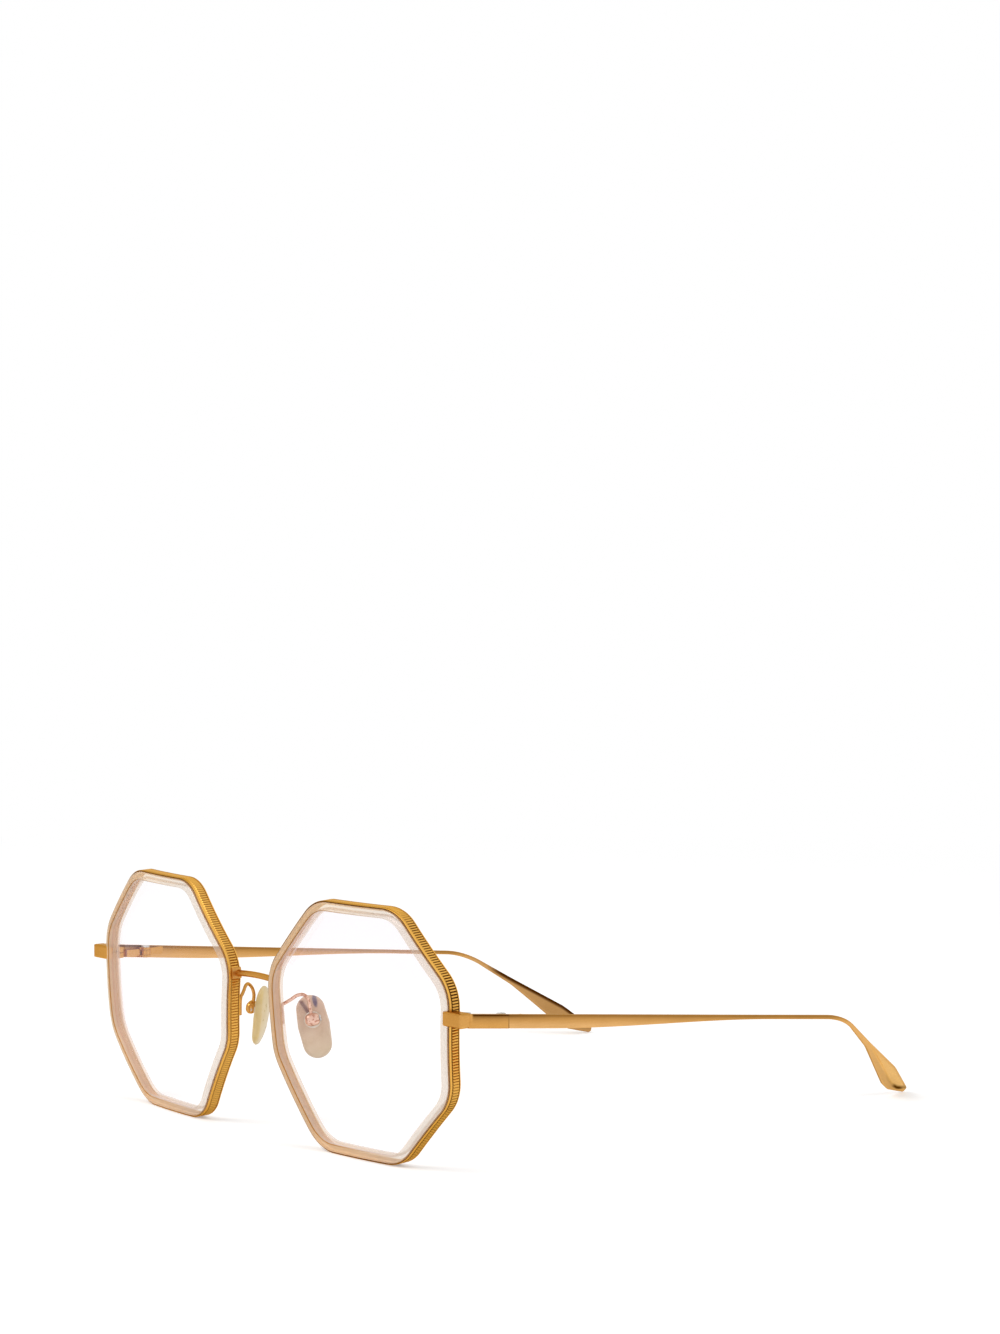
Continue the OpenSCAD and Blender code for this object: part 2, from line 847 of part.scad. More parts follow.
pad_head_step = 0.3;
module pad_screws() {
  color(steel)
    standing()
      for (m = [0, 1]) {
        mirror([m, 0, 0])
          at_pad()
            translate([screw_out, box_w / 2, box_up])
              rotate([-90, 0, 0])
                screw(pad_screw_r, box_w - screw_short, pad_screw_r + pad_head_step);
      }
}

// Flat oval of the nose pad, widest just above its middle
pad_end_share = 0.46;
pad_widest = 0.02;
module pad_plate(from, to) {
  end_r = pad_w * pad_end_share;
  side_r = end_r * (1 + pad_widest);
  side_plate(from, to)
    tight_round([
      [pad_w / 2 - end_r, pad_len * pad_widest, side_r],
      [0, pad_len / 2 - end_r, end_r],
      [end_r - pad_w / 2, pad_len * pad_widest, side_r],
      [0, end_r - pad_len / 2, end_r]
    ], ring_fn);
}

eye_plate_r = 1.8;
eye_plate_t = 0.4;

module nose_pad() {
  color(pad_clear)
    standing()
      at_pad()
        difference() {
          intersection() {
            pad_plate(pad_face - pad_t, pad_face);
            translate([pad_face - pad_t + pad_crown_r, 0, 0]) sphere(r = pad_crown_r, $fn = ball_fn);
          }
          eye_plate();
        }
}

module eye_plate() {
  translate([pad_face - eye_plate_t, 0, box_up])
    rotate([0, 90, 0])
      cylinder(r = eye_plate_r, h = 2 * eye_plate_t);
}

// Eye that the pad screw passes through, on a disc set into the pad
module pad_eye() {
  color(steel)
    standing()
      at_pad()
        difference() {
          union() {
            intersection() {
              eye_plate();
              translate([pad_face - pad_t, -pad_w, -pad_len]) cube([pad_t, 2 * pad_w, 2 * pad_len]);
            }
            across_box(eye_r, -eye_half, eye_half);
            translate([pad_face - eye_plate_t / 2, -eye_half, box_up - eye_neck_h / 2])
              cube([screw_out - pad_face + eye_plate_t / 2, 2 * eye_half, eye_neck_h]);
          }
          across_box(pad_screw_r + screw_gap, -box_w, box_w);
        }
}

rim();  // rim_left
other_side() rim();  // rim_right
ring();  // ring_left
other_side() ring();  // ring_right
lens();  // lens_left
other_side() lens();  // lens_right
bridge();
bridge_lug();  // bridge_lug_left
other_side() bridge_lug();  // bridge_lug_right
endpiece();  // endpiece_left
other_side() endpiece();  // endpiece_right
closing_upper();  // closing_upper_left
other_side() closing_upper();  // closing_upper_right
closing_lower();  // closing_lower_left
other_side() closing_lower();  // closing_lower_right
rim_screws();
hinge_front();  // hinge_front_left
other_side() hinge_front();  // hinge_front_right
hinge_screws();
pad_arm();  // pad_arm_left
other_side() pad_arm();  // pad_arm_right
pad_box();  // pad_box_left
other_side() pad_box();  // pad_box_right
pad_screws();
nose_pad();  // nose_pad_left
other_side() nose_pad();  // nose_pad_right
pad_eye();  // pad_eye_left
other_side() pad_eye();  // pad_eye_right
temple();  // temple_left
other_side() temple();  // temple_right
hinge_rear();  // hinge_rear_left
other_side() hinge_rear();  // hinge_rear_right
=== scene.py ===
"""Octagonal metal eyeglasses with clear inner rings, standing open on a pale floor."""

import json
import math

import bmesh
import bpy
from bpy.props import FloatProperty, FloatVectorProperty, PointerProperty
from bpy.types import Operator, Panel, PropertyGroup
from mathutils import Matrix, Vector


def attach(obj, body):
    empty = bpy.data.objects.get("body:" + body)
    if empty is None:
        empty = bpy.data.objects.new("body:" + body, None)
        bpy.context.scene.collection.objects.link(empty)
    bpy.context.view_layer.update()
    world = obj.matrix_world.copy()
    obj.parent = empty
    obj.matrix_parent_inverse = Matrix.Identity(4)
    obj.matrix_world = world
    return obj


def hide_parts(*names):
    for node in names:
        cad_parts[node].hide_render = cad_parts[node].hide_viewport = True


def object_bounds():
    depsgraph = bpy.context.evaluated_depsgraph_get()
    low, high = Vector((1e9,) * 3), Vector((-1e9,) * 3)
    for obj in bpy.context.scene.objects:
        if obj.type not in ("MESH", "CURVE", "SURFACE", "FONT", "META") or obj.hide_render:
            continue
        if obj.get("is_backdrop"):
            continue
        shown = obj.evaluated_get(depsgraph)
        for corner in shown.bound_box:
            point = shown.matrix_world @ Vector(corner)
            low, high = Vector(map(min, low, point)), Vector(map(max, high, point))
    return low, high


bl_info = {
    "name": "Octagonal Eyeglasses",
    "version": (1, 0, 0),
    "blender": (4, 5, 0),
    "location": "3D View > Sidebar > Eyeglasses",
    "description": "Dresses packed octagonal eyeglasses with ribbed rims, rings, lenses and tips",
    "category": "Add Mesh",
}

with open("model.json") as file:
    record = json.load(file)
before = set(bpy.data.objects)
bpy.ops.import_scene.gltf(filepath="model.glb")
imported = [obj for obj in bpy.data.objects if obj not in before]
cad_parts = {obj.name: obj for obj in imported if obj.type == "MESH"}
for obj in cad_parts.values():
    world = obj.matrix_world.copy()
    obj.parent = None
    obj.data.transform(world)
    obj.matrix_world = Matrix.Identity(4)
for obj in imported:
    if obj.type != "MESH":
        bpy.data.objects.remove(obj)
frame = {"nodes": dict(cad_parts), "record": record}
CAD_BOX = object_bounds()

# Sizes below repeat the part's own, in millimetres and degrees
EYE_CORNERS = [
    (28.0, 11.5), (13.0, 26.5), (-12.0, 26.5), (-28.0, 10.1),
    (-26.5, -7.7), (-13.5, -26.5), (11.9, -26.5), (27.3, -11.1),
]
CORNER_R = 9.5
BASE_R = 147.0
EYE_X = 35.3
WRAP = math.radians(4.7)
LEAN = math.radians(2.6)
MIDDLE_Y = 74.0093
STAND_H = 26.715

RIM_FRONT = 0.35
RIM_BACK = 3.2
RIM_WALL = 0.35
SHELF_FRONT = 0.95
SHELF_W = 0.45
CUT_Z = 5.75
CUT_W = 0.25
RING_W = 1.8
RING_DEPTH = 3.2
RING_GAP = 0.04
GROOVE_FRONT = 0.96
GROOVE_BACK = 2.34
GROOVE_EDGE = -1.26
LENS_FRONT = 1.0
LENS_BACK = 2.3
LENS_EDGE = -1.3

BRIDGE_D = 1.35
BRIDGE_Y = 2.7232
BRIDGE_Z = 8.1
BRIDGE_ARC_R = 76.3036
BRIDGE_HALF = 6.8

PIN = Vector((64.9048, 17.1731, 4.8767))
ARM_OUTER = 67.3748
TOP_AT_PIN = 6.3017
BAR_H = 2.85
BAR_T = 1.3
WIRE_D = 0.95
BAR_FULL = 12.0
BAR_END = 75.0
LEAF_LEN = 5.0
HINGE_GAP = 0.07
BEND_AT = 97.4
BEND_R = 20.0
BAR_SLOPE = math.radians(5.93)
TIP_DROP = math.radians(29.1)
TIP_TURN = math.radians(18.6)
TIP_TWIST = math.radians(24.0)
TIP_LEN = 40.5315
TIP_T = 1.1
TIP_SINK = 0.25
TIP_END_R = 0.9
TIP_END_DOWN = 2.1
TIP_LOW_R = 1.7
TIP_LOW_BACK = 5.9
TIP_LOW_DOWN = 1.0
TIP_SHOULDER_R = 2.5
TIP_SHOULDER_BACK = 9.0
TIP_NECK_R = 0.75
TIP_NECK_AT = 16.0

PAD_CENTRE = Vector((9.7, 10.9, -2.7))
PAD_YAW = math.radians(36.0)
PAD_SLOPE = math.radians(11.7)
PAD_SPLAY = math.radians(10.0)
PAD_W = 6.8
PAD_LEN = 13.7
PAD_T = 2.0
PAD_FACE = 0.9
PAD_CROWN_R = 25.0
PAD_END_SHARE = 0.46
SCREW_OUT = 2.2
BOX_UP = 1.5
BOX_H = 2.7
BOX_W = 3.2
BOX_MOUTH = 1.35
ARM_D = 0.75
ARM_FLARE = 0.4

STANDING = Matrix.Translation((0, -MIDDLE_Y, STAND_H))
AT_EYE = (
    STANDING
    @ Matrix.Translation((EYE_X, 0, 0))
    @ Matrix.Rotation(LEAN, 4, "X")
    @ Matrix.Rotation(WRAP, 4, "Z")
)
AT_PAD = (
    STANDING
    @ Matrix.Translation(PAD_CENTRE)
    @ Matrix.Rotation(-PAD_YAW, 4, "Z")
    @ Matrix.Rotation(PAD_SLOPE, 4, "X")
    @ Matrix.Rotation(-PAD_SPLAY, 4, "Y")
)
TO_METRES = Matrix.Scale(0.001, 4)


def length_of(name, description, default, least, most):
    return FloatProperty(
        name=name, description=description, default=default, min=least, max=most,
        unit="LENGTH", precision=5,
    )


def colour_of(name, description, default):
    return FloatVectorProperty(
        name=name, description=description, default=default, min=0, max=1, size=3, subtype="COLOR",
    )


class EyewearRimSizes(PropertyGroup):
    """Sizes of the rims' coin edge."""

    rib_pitch: length_of(
        "Rib Pitch", "Distance from one rib of the coin edge to the next", 0.0006, 0.0003, 0.001)
    rib_height: length_of(
        "Rib Height", "Height of the ribs above the grooves between them", 0.00016, 0.00002, 0.0003)
    front_border: length_of(
        "Front Border", "Width of the plain border in front of the ribs", 0.00048, 0.0002, 0.001)
    rear_border: length_of(
        "Rear Border", "Width of the plain border behind the ribs", 0.00026, 0.0002, 0.001)


class EyewearShapeSizes(PropertyGroup):
    """Sizes of the softer shapes on the pads, the pad boxes and the temples."""

    tip_hollow: length_of(
        "Tip Hollow", "Depth of the shallow hollow in the outer face of each temple tip",
        0.0003, 0.0, 0.0005)
    bar_round: length_of(
        "Bar Rounding", "Radius of the rounded edges of the temples' bars",
        0.00024, 0.00005, 0.0006)
    pad_edge: length_of(
        "Pad Edge", "Thickness of the nose pads at their upper and lower ends",
        0.0007, 0.0003, 0.0012)
    box_round: length_of(
        "Box Rounding", "Radius of the pad boxes' rounded edges", 0.0011, 0.0002, 0.0012)


class EyewearColours(PropertyGroup):
    """Colours of the finishes."""

    gold: colour_of("Gold", "Light parts of the satin gold plating", (0.71, 0.37, 0.105))
    deep_gold: colour_of("Deep Gold", "Darker parts of the satin gold plating", (0.36, 0.15, 0.018))
    # The groove colour is the painted shade of the metal finishes: in the rims' grooves and gaps,
    # round the endpieces, along the upper edges of arms and temples, in the hinge seams and on the
    # tips
    groove: colour_of("Groove", "Bottom of the grooves between the ribs", (0.075, 0.019, 0.0))
    steel: colour_of("Steel", "Plain steel of the screws", (0.50, 0.49, 0.47))
    lining: colour_of(
        "Lining", "Inner walls of the rims, seen through the clear rings", (0.90, 0.73, 0.52))
    crystal: colour_of("Crystal", "Tint of the clear rings", (0.96, 0.89, 0.82))
    coating: colour_of("Coating", "Reflection of the lenses' coating", (0.92, 0.84, 0.95))
    pad: colour_of(
        "Pad", "Clear plastic of the right nose pad, seen past the lens", (0.93, 0.70, 0.26))
    left_pad: colour_of(
        "Left Pad", "Clear plastic of the left nose pad, seen through the lens", (0.81, 0.50, 0.36))
    floor: colour_of("Floor", "Pale floor under the eyeglasses", (0.88, 0.88, 0.88))


class EyewearStageSizes(PropertyGroup):
    """Sizes and levels of the floor and the lamps."""

    floor_width: FloatProperty(
        name="Floor Width", description="Width of the pale floor",
        default=30.0, min=1.0, max=100.0, unit="LENGTH",
    )
    key_power: FloatProperty(
        name="Key Lamp", description="Power of the large lamp at the front",
        default=9.0, min=0.0, max=60.0, unit="POWER",
    )
    fill_power: FloatProperty(
        name="Fill Lamp", description="Power of the lamp at the side",
        default=5.0, min=0.0, max=60.0, unit="POWER",
    )
    room_level: FloatProperty(
        name="Room Level", description="Level of the soft light from all round",
        default=0.5, min=0.0, max=1.0,
    )


class Value:
    """A node's output, with the sums a finish needs written as plain arithmetic."""

    def __init__(self, sheet, socket):
        self.sheet = sheet
        self.socket = socket

    def maths(self, operation, first, second=0.0, clamp=False):
        settings = {"operation": operation, "use_clamp": clamp}
        return self.sheet.value("ShaderNodeMath", settings, {0: first, 1: second})

    def __add__(self, other):
        return self.maths("ADD", self, other)

    def __radd__(self, other):
        return self.maths("ADD", other, self)

    def __sub__(self, other):
        return self.maths("SUBTRACT", self, other)

    def __rsub__(self, other):
        return self.maths("SUBTRACT", other, self)

    def __mul__(self, other):
        return self.maths("MULTIPLY", self, other)

    def __rmul__(self, other):
        return self.maths("MULTIPLY", other, self)

    def __truediv__(self, other):
        return self.maths("DIVIDE", self, other)

    def __rtruediv__(self, other):
        return self.maths("DIVIDE", other, self)

    def __pow__(self, other):
        return self.maths("POWER", self, other)

    def larger(self, other):
        return self.maths("MAXIMUM", self, other)

    def size(self):
        return self.maths("ABSOLUTE", self)

    def limited(self):
        return self.maths("ADD", self, 0.0, clamp=True)

    def ramp(self, start, end):
        """0 up to start and 1 from end on, changing evenly between them."""
        return ((self - start) / (end - start)).limited()


class Sheet:
    """The nodes of one material or of the world."""

    def __init__(self, tree):
        self.tree = tree
        tree.nodes.clear()

    def node(self, kind, settings=None, inputs=None):
        made = self.tree.nodes.new(kind)
        for name, setting in (settings or {}).items():
            setattr(made, name, setting)
        for key, given in (inputs or {}).items():
            if isinstance(given, Value):
                self.tree.links.new(given.socket, made.inputs[key])
            else:
                made.inputs[key].default_value = given
        return made

    def value(self, kind, settings=None, inputs=None, output=0):
        return Value(self, self.node(kind, settings, inputs).outputs[output])

    def place(self, scale=(1, 1, 1)):
        """Where a point of a piece lies, in metres times the scale."""
        where = self.value("ShaderNodeTexCoord", output="Object")
        return self.value("ShaderNodeMapping", None, {"Vector": where, "Scale": scale})

    def millimetres(self):
        return self.place((1000, 1000, 1000))

    def noise(self, place, scale, detail=2.0, rough=0.5):
        inputs = {"Vector": place, "Scale": scale, "Detail": detail, "Roughness": rough}
        return self.value("ShaderNodeTexNoise", None, inputs, "Fac")

    def blend(self, factor, first, second):
        """The first colour at 0 and the second at 1, with an even change between them."""
        ends = [given if isinstance(given, Value) else (*given, 1) for given in (first, second)]
        inputs = {0: factor, 6: ends[0], 7: ends[1]}
        return self.value("ShaderNodeMix", {"data_type": "RGBA"}, inputs, 2)

    def bump(self, height, strength, distance):
        inputs = {"Height": height, "Strength": strength, "Distance": distance}
        return self.value("ShaderNodeBump", None, inputs, "Normal")

    def surface(self, inputs):
        return self.value("ShaderNodeBsdfPrincipled", None, inputs)

    def see_through(self, tint):
        return self.value("ShaderNodeBsdfTransparent", None, {"Color": (*tint, 1)})

    def mixed(self, factor, first, second):
        return self.value("ShaderNodeMixShader", None, {0: factor, 1: first, 2: second})

    def split(self, vector):
        parts = self.node("ShaderNodeSeparateXYZ", None, {0: vector})
        return [Value(self, output) for output in parts.outputs]

    def looks(self):
        """How far the surface looks to the left, to the back and up, each from -1 to 1."""
        return self.split(self.value("ShaderNodeNewGeometry", output="Normal"))

    def facing(self):
        return self.value("ShaderNodeLayerWeight", None, {"Blend": 0.5}, "Facing")

    def output(self, shader, kind="ShaderNodeOutputMaterial"):
        self.node(kind, None, {"Surface": shader})


# Tints of single finishes, beside the main colours, which are in the panel
GOLD_SHEEN = (0.95, 0.72, 0.40)
WARM_RIM = (0.92, 0.51, 0.10)
# Painted light: paler gold for the temples' lower bars and for the lit outer faces of their tips
PAINTED_LIGHT_BAR = (0.82, 0.49, 0.21)
PAINTED_LIGHT_TIP = (0.84, 0.53, 0.21)
PAINTED_LIGHT_DEEP_TIP = (0.56, 0.31, 0.10)
DEEP_STEEL = (0.33, 0.32, 0.30)
ROSY_WIRE = (0.90, 0.64, 0.51)
ROSY_SPOTS = (0.56, 0.27, 0.18)
DEEP_ROSY_WIRE = (0.50, 0.24, 0.15)
PAD_METAL = (0.62, 0.40, 0.26)
DEEP_PAD_METAL = (0.48, 0.28, 0.17)
PEACH = (0.86, 0.66, 0.50)
PALE_PEACH = (0.90, 0.76, 0.63)
FRONT_PEACH = (0.87, 0.63, 0.35)
# Painted grey shade and the painted brown shade line of the clear rings
SHADED_PEACH = (0.66, 0.54, 0.43)
PALE_SHADED_PEACH = (0.76, 0.67, 0.57)
BROWN_EDGE_SHADE = (0.44, 0.18, 0.02)
ROSY_COATING = (0.95, 0.72, 0.78)
LENS_TINT = (1.0, 0.996, 0.996)
LOW_LEFT_PAD = (0.80, 0.62, 0.42)
# Painted shade towards the nose pads' edges
PAD_EDGE_SHADE = (0.50, 0.38, 0.26)
PAD_HAZE = (0.95, 0.90, 0.80)
PAD_TINT = (0.95, 0.90, 0.76)
# Painted reflections in the left nose pad: of its wire, and of the lens's purple coating
RED_WIRE_REFLECTION = (0.13, 0.004, 0.002)
PURPLE_COATING_REFLECTION = (0.05, 0.004, 0.10)

# Brushed grains, as the density of their lines across, along and up
EVEN_GRAIN = (2500, 2500, 2500)
FINE_GRAIN = (3000, 3000, 3000)
ARM_GRAIN = (2500, 600, 2500)
TEMPLE_GRAIN = (3800, 160, 3800)
SCREW_GRAIN = (5000, 5000, 700)

# Places on the standing piece, in millimetres, for the painted shades round the blocks and hinges
PIN_BACK = MIDDLE_Y - PIN.y
BLOCK_BACK = -66.6
BLOCK_X = 63.3
BLOCK_Z = 36.9


def colours():
    return bpy.context.scene.eyewear_colours


def finish(name):
    """Turns a recipe into a function that gives the material of that name, made once."""
    def from_recipe(recipe):
        def material():
            made = bpy.data.materials.get(name)
            if made is None:
                made = bpy.data.materials.new(name)
                made.use_nodes = True
                recipe(Sheet(made.node_tree))
            return made

        return material

    return from_recipe


def satin(sheet, light, deep, grain, rough=0.30, shade=None, lining=None, painted_top_shade=None):
    """Plated metal with a fine brushed grain and a little cloudiness, with painted shade on what
    looks upwards and painted light on what looks sideways.

    It takes the groove colour, a painted shade, where shade is 1, and the lining colour where
    lining is 1.
    Its last argument, painted light and shade by how far the surface looks up, takes the place of
    the gentle painted shade on what looks upwards.
    """
    brushed = sheet.noise(sheet.place(grain), 1.0, 3.0, 0.6)
    cloud = sheet.noise(sheet.place(), 90.0, 2.0)
    speck = sheet.noise(sheet.place(), 2600.0, 2.0)
    sideways, _, upward = sheet.looks()
    # Painted shade and light: what looks upwards is darker and what looks sideways lighter
    top = 0.25 * upward if painted_top_shade is None else painted_top_shade
    tone = 0.4 * cloud + 0.25 * brushed + 0.15 * speck + top - 0.34 * sideways.size() + 0.14
    colour = sheet.blend(tone.limited(), light, deep)
    roughness = rough + 0.16 * (brushed - 0.5) + 0.08 * (speck - 0.5)
    if shade is not None:
        dark = shade.limited()
        colour = sheet.blend(dark, colour, colours().groove)
        roughness = roughness + 0.2 * dark
    if lining is not None:
        colour = sheet.blend(lining, colour, colours().lining)
        roughness = roughness + 0.3 * lining
    sheet.output(sheet.surface({
        "Base Color": colour,
        "Metallic": 1.0,
        "Roughness": roughness,
        "Normal": sheet.bump(brushed + 0.5 * speck, 0.08, 0.00003),
        "Specular Tint": (*GOLD_SHEEN, 1),
    }))


def marked(sheet, name):
    """A mark that the piece carries on its points, from 0 to 1."""
    return sheet.value("ShaderNodeAttribute", {"attribute_name": name}, None, "Fac")


def leftness(across, change):
    """0 on the pieces of the right side and 1 on those of the left; change is per unit across."""
    return (across * change + 0.5).limited()


def below_upper_edge(sheet):
    """How far a point lies below the upper edge of the arms and temples, 1 from 2.1 mm on."""
    _, along, height = sheet.split(sheet.millimetres())
    edge = TOP_AT_PIN + STAND_H - (along + PIN_BACK) * math.tan(BAR_SLOPE)
    return ((edge - height) / 2.1).limited()


def painted_upper_edge_shade(sheet):
    """Painted shade along the upper edge of the endpieces' arms and the temples, standing in for a
    dark reflection, and painted shade in the hinge seam between them, both weaker on what looks up.
    """
    _, along, _ = sheet.split(sheet.millimetres())
    above = 1.0 - below_upper_edge(sheet)
    behind_block = along.ramp(BLOCK_BACK, BLOCK_BACK + 0.5)
    farther = along.ramp(-60.0, -46.0)
    edge = (1.0 - 0.38 * farther) * above ** 4.0 + (0.36 - 0.12 * farther) * above
    seam = (1.2 - (along + PIN_BACK).size() / 0.16).limited()
    _, _, upward = sheet.looks()
    return edge.larger(0.55 * seam) * behind_block * (1.0 - 0.8 * upward.limited())


@finish("satin_gold")
def gold(sheet):
    satin(sheet, colours().gold, colours().deep_gold, EVEN_GRAIN)


@finish("satin_arm_gold")
def arm_gold(sheet):
    """Gold of the endpieces, with painted shade along their arms' upper edge and in the hinge seam.
    """
    shade = painted_upper_edge_shade(sheet)
    satin(sheet, colours().gold, colours().deep_gold, ARM_GRAIN, shade=shade)


@finish("brushed_temple_gold")
def temple_gold(sheet):
    """Gold brushed lengthwise, with painted shade along its upper edge, in the hinge seam, on the
    tips' inner faces and where the tips are marked, and painted light towards the bar's lower edge
    and on the tips' outer faces.
    """
    side, along, _ = sheet.split(sheet.millimetres())
    sideways, _, _ = sheet.looks()
    outwards = (sideways * (side / side.size()) * 1.5).limited()
    # Painted light on the tips' outer faces and painted shade on their inner faces
    painted_light_outside_tip = along.ramp(48.0, 70.0) * outwards
    painted_shade_inside_tip = along.ramp(30.0, 60.0) * (1.0 - outwards)
    edge = painted_upper_edge_shade(sheet) * (1.0 - painted_light_outside_tip)
    shade = marked(sheet, "groove").larger(edge).larger(0.3 * painted_shade_inside_tip)
    # Painted light: the bar grows paler towards its lower edge
    bar = sheet.blend(0.7 * below_upper_edge(sheet) ** 2.0, colours().gold, PAINTED_LIGHT_BAR)
    light = sheet.blend(painted_light_outside_tip, bar, PAINTED_LIGHT_TIP)
    deep = sheet.blend(painted_light_outside_tip, colours().deep_gold, PAINTED_LIGHT_DEEP_TIP)
    satin(sheet, light, deep, TEMPLE_GRAIN, shade=shade)


@finish("ribbed_rim_gold")
def rim_gold(sheet):
    """Gold with painted shade in its grooves, deeper on its upright sides and on the left rim and
    deepest near the endpieces' blocks, and along the top of its front face; its flat top is painted
    darker and the slopes that look up lighter.
    """
    across, _, height = sheet.split(sheet.millimetres())
    _, backwards, upward = sheet.looks()
    # Painted shade along the top of the rims' front faces
    painted_top_edge_shade = (backwards * -1.0).limited() * height.ramp(49.0, 51.5)
    # Painted shade in the grooves, deeper on upright sides, on the left rim and near the endpieces'
    # blocks
    upright = (1.0 - 1.8 * upward).limited()
    away = ((across.size() - BLOCK_X) ** 2.0 + (height - BLOCK_Z) ** 2.0) ** 0.5
    painted_shade_near_block = away.ramp(6.0, 0.0)
    depth = 1.0 - (1.0 - marked(sheet, "groove")) ** 2.5
    side = 0.6 + 0.4 * leftness(across, 0.1)
    shade = depth * (0.1 + 0.9 * upright) * side + 0.7 * depth * painted_shade_near_block + 0.42 * painted_top_edge_shade
    # Painted light and shade by how far the surface looks up: darker on the flat top, lighter on
    # the slopes below it
    top = 2.2 * (upward - 0.75).limited() - 0.3 * (upward * 1.4).limited()
    light = sheet.blend(0.75, colours().gold, WARM_RIM)
    lining = marked(sheet, "inside")
    satin(sheet, light, colours().deep_gold, EVEN_GRAIN, 0.26, shade, lining, top)


@finish("screw_steel")
def steel(sheet):
    satin(sheet, colours().steel, DEEP_STEEL, SCREW_GRAIN, 0.34)


@finish("pad_wire_gold")
def wire_gold(sheet):
    """Gold of the pads' wires and boxes; the left ones look rosy, as seen through the lens."""
    across, _, _ = sheet.split(sheet.place())
    left = leftness(across, 200.0)
    spots = sheet.noise(sheet.place(), 1500.0, 1.0)
    rosy = sheet.blend(((spots - 0.52) * 9.0).limited(), ROSY_WIRE, ROSY_SPOTS)
    light = sheet.blend(left, colours().gold, rosy)
    deep = sheet.blend(left, colours().deep_gold, DEEP_ROSY_WIRE)
    satin(sheet, light, deep, EVEN_GRAIN)


@finish("pad_metal")
def pad_metal(sheet):
    """Pale rosy metal of the eyes that are set into the nose pads."""
    satin(sheet, PAD_METAL, DEEP_PAD_METAL, FINE_GRAIN)


@finish("clear_peach_acetate")
def crystal(sheet):
    """Clear peach acetate with painted grey shade towards the left of each eye, and a painted brown
    shade line along its edges, where it meets the rim and the lens.
    """
    place = sheet.millimetres()
    haze = sheet.noise(place, 0.16, 2.0)
    polish = sheet.noise(place, 0.7, 2.0)
    back_side = sheet.value("ShaderNodeNewGeometry", output="Backfacing")
    across, _, _ = sheet.split(place)
    past_middle = (across.size() - EYE_X) * (across / across.size())
    # Painted brown shade lines along the ring's front edges, beside the lens inside and beside the
    # rim outside
    inner_line = marked(sheet, "inside") * (0.6 - past_middle * 0.05).limited()
    outer_share = (0.3 + (past_middle * 0.08 + 0.4).limited()).limited()
    line = inner_line.larger(marked(sheet, "groove") * outer_share)
    pale = sheet.blend((haze * 0.9).limited(), PEACH, PALE_PEACH)
    _, backwards, _ = sheet.looks()
    pale = sheet.blend((backwards * -1.0).limited() * 0.8, pale, FRONT_PEACH)
    # Painted grey shade towards the left of each eye
    painted_grey_shade = (past_middle * 0.06 + 0.3).limited()
    pale = sheet.blend(painted_grey_shade, pale, sheet.blend(haze, SHADED_PEACH, PALE_SHADED_PEACH))
    body = sheet.surface({
        "Base Color": sheet.blend(line, pale, BROWN_EDGE_SHADE),
        "Roughness": 0.06 + 0.08 * polish,
        "IOR": 1.49,
        "Normal": sheet.bump(polish, 0.02, 0.00003),
    })
    tinted = sheet.see_through(colours().crystal)
    clear = sheet.mixed(back_side, tinted, sheet.see_through((1, 1, 1)))
    share = 0.40 + 0.1 * haze + 0.3 * sheet.facing() ** 4.0 + 0.6 * line
    sheet.output(sheet.mixed((share * (1.0 - back_side)).limited(), clear, body))


@finish("coated_lens")
def lens_glass(sheet):
    """Clear lens with a purple and rosy coating; the left one carries a painted reflection of a
    pale window above, in its upper part.
    """
    wash = sheet.noise(sheet.place((40, 40, 25)), 1.0, 1.0)
    purple, rosy = [
        sheet.value("ShaderNodeBsdfGlossy", None, {"Color": (*tint, 1), "Roughness": 0.03})
        for tint in (colours().coating, ROSY_COATING)
    ]
    gloss = sheet.mixed((wash * 1.4 - 0.3).limited(), purple, rosy)
    clear = sheet.see_through(LENS_TINT)
    across, _, height = sheet.split(sheet.millimetres())
    left = leftness(across, 0.1)
    # Painted reflection of a pale window in the upper part of the left lens
    painted_window_reflection = 0.11 * height.ramp(36.0, 39.0) * left
    share = 0.004 + 0.012 * wash + painted_window_reflection + 0.7 * sheet.facing() ** 5.0
    sheet.output(sheet.mixed(share.limited(), clear, gloss))


def pad_places(sheet):
    """How far across and up the left nose pad a point lies, in millimetres from its middle."""
    def vector(operation, first, second, output):
        settings = {"operation": operation}
        return sheet.value("ShaderNodeVectorMath", settings, {0: first, 1: second}, output)

    moved = vector("SUBTRACT", sheet.millimetres(), AT_PAD.translation, "Vector")
    axes = AT_PAD.to_3x3().col
    return [vector("DOT_PRODUCT", moved, axis, "Value") for axis in (axes[1], axes[2])]


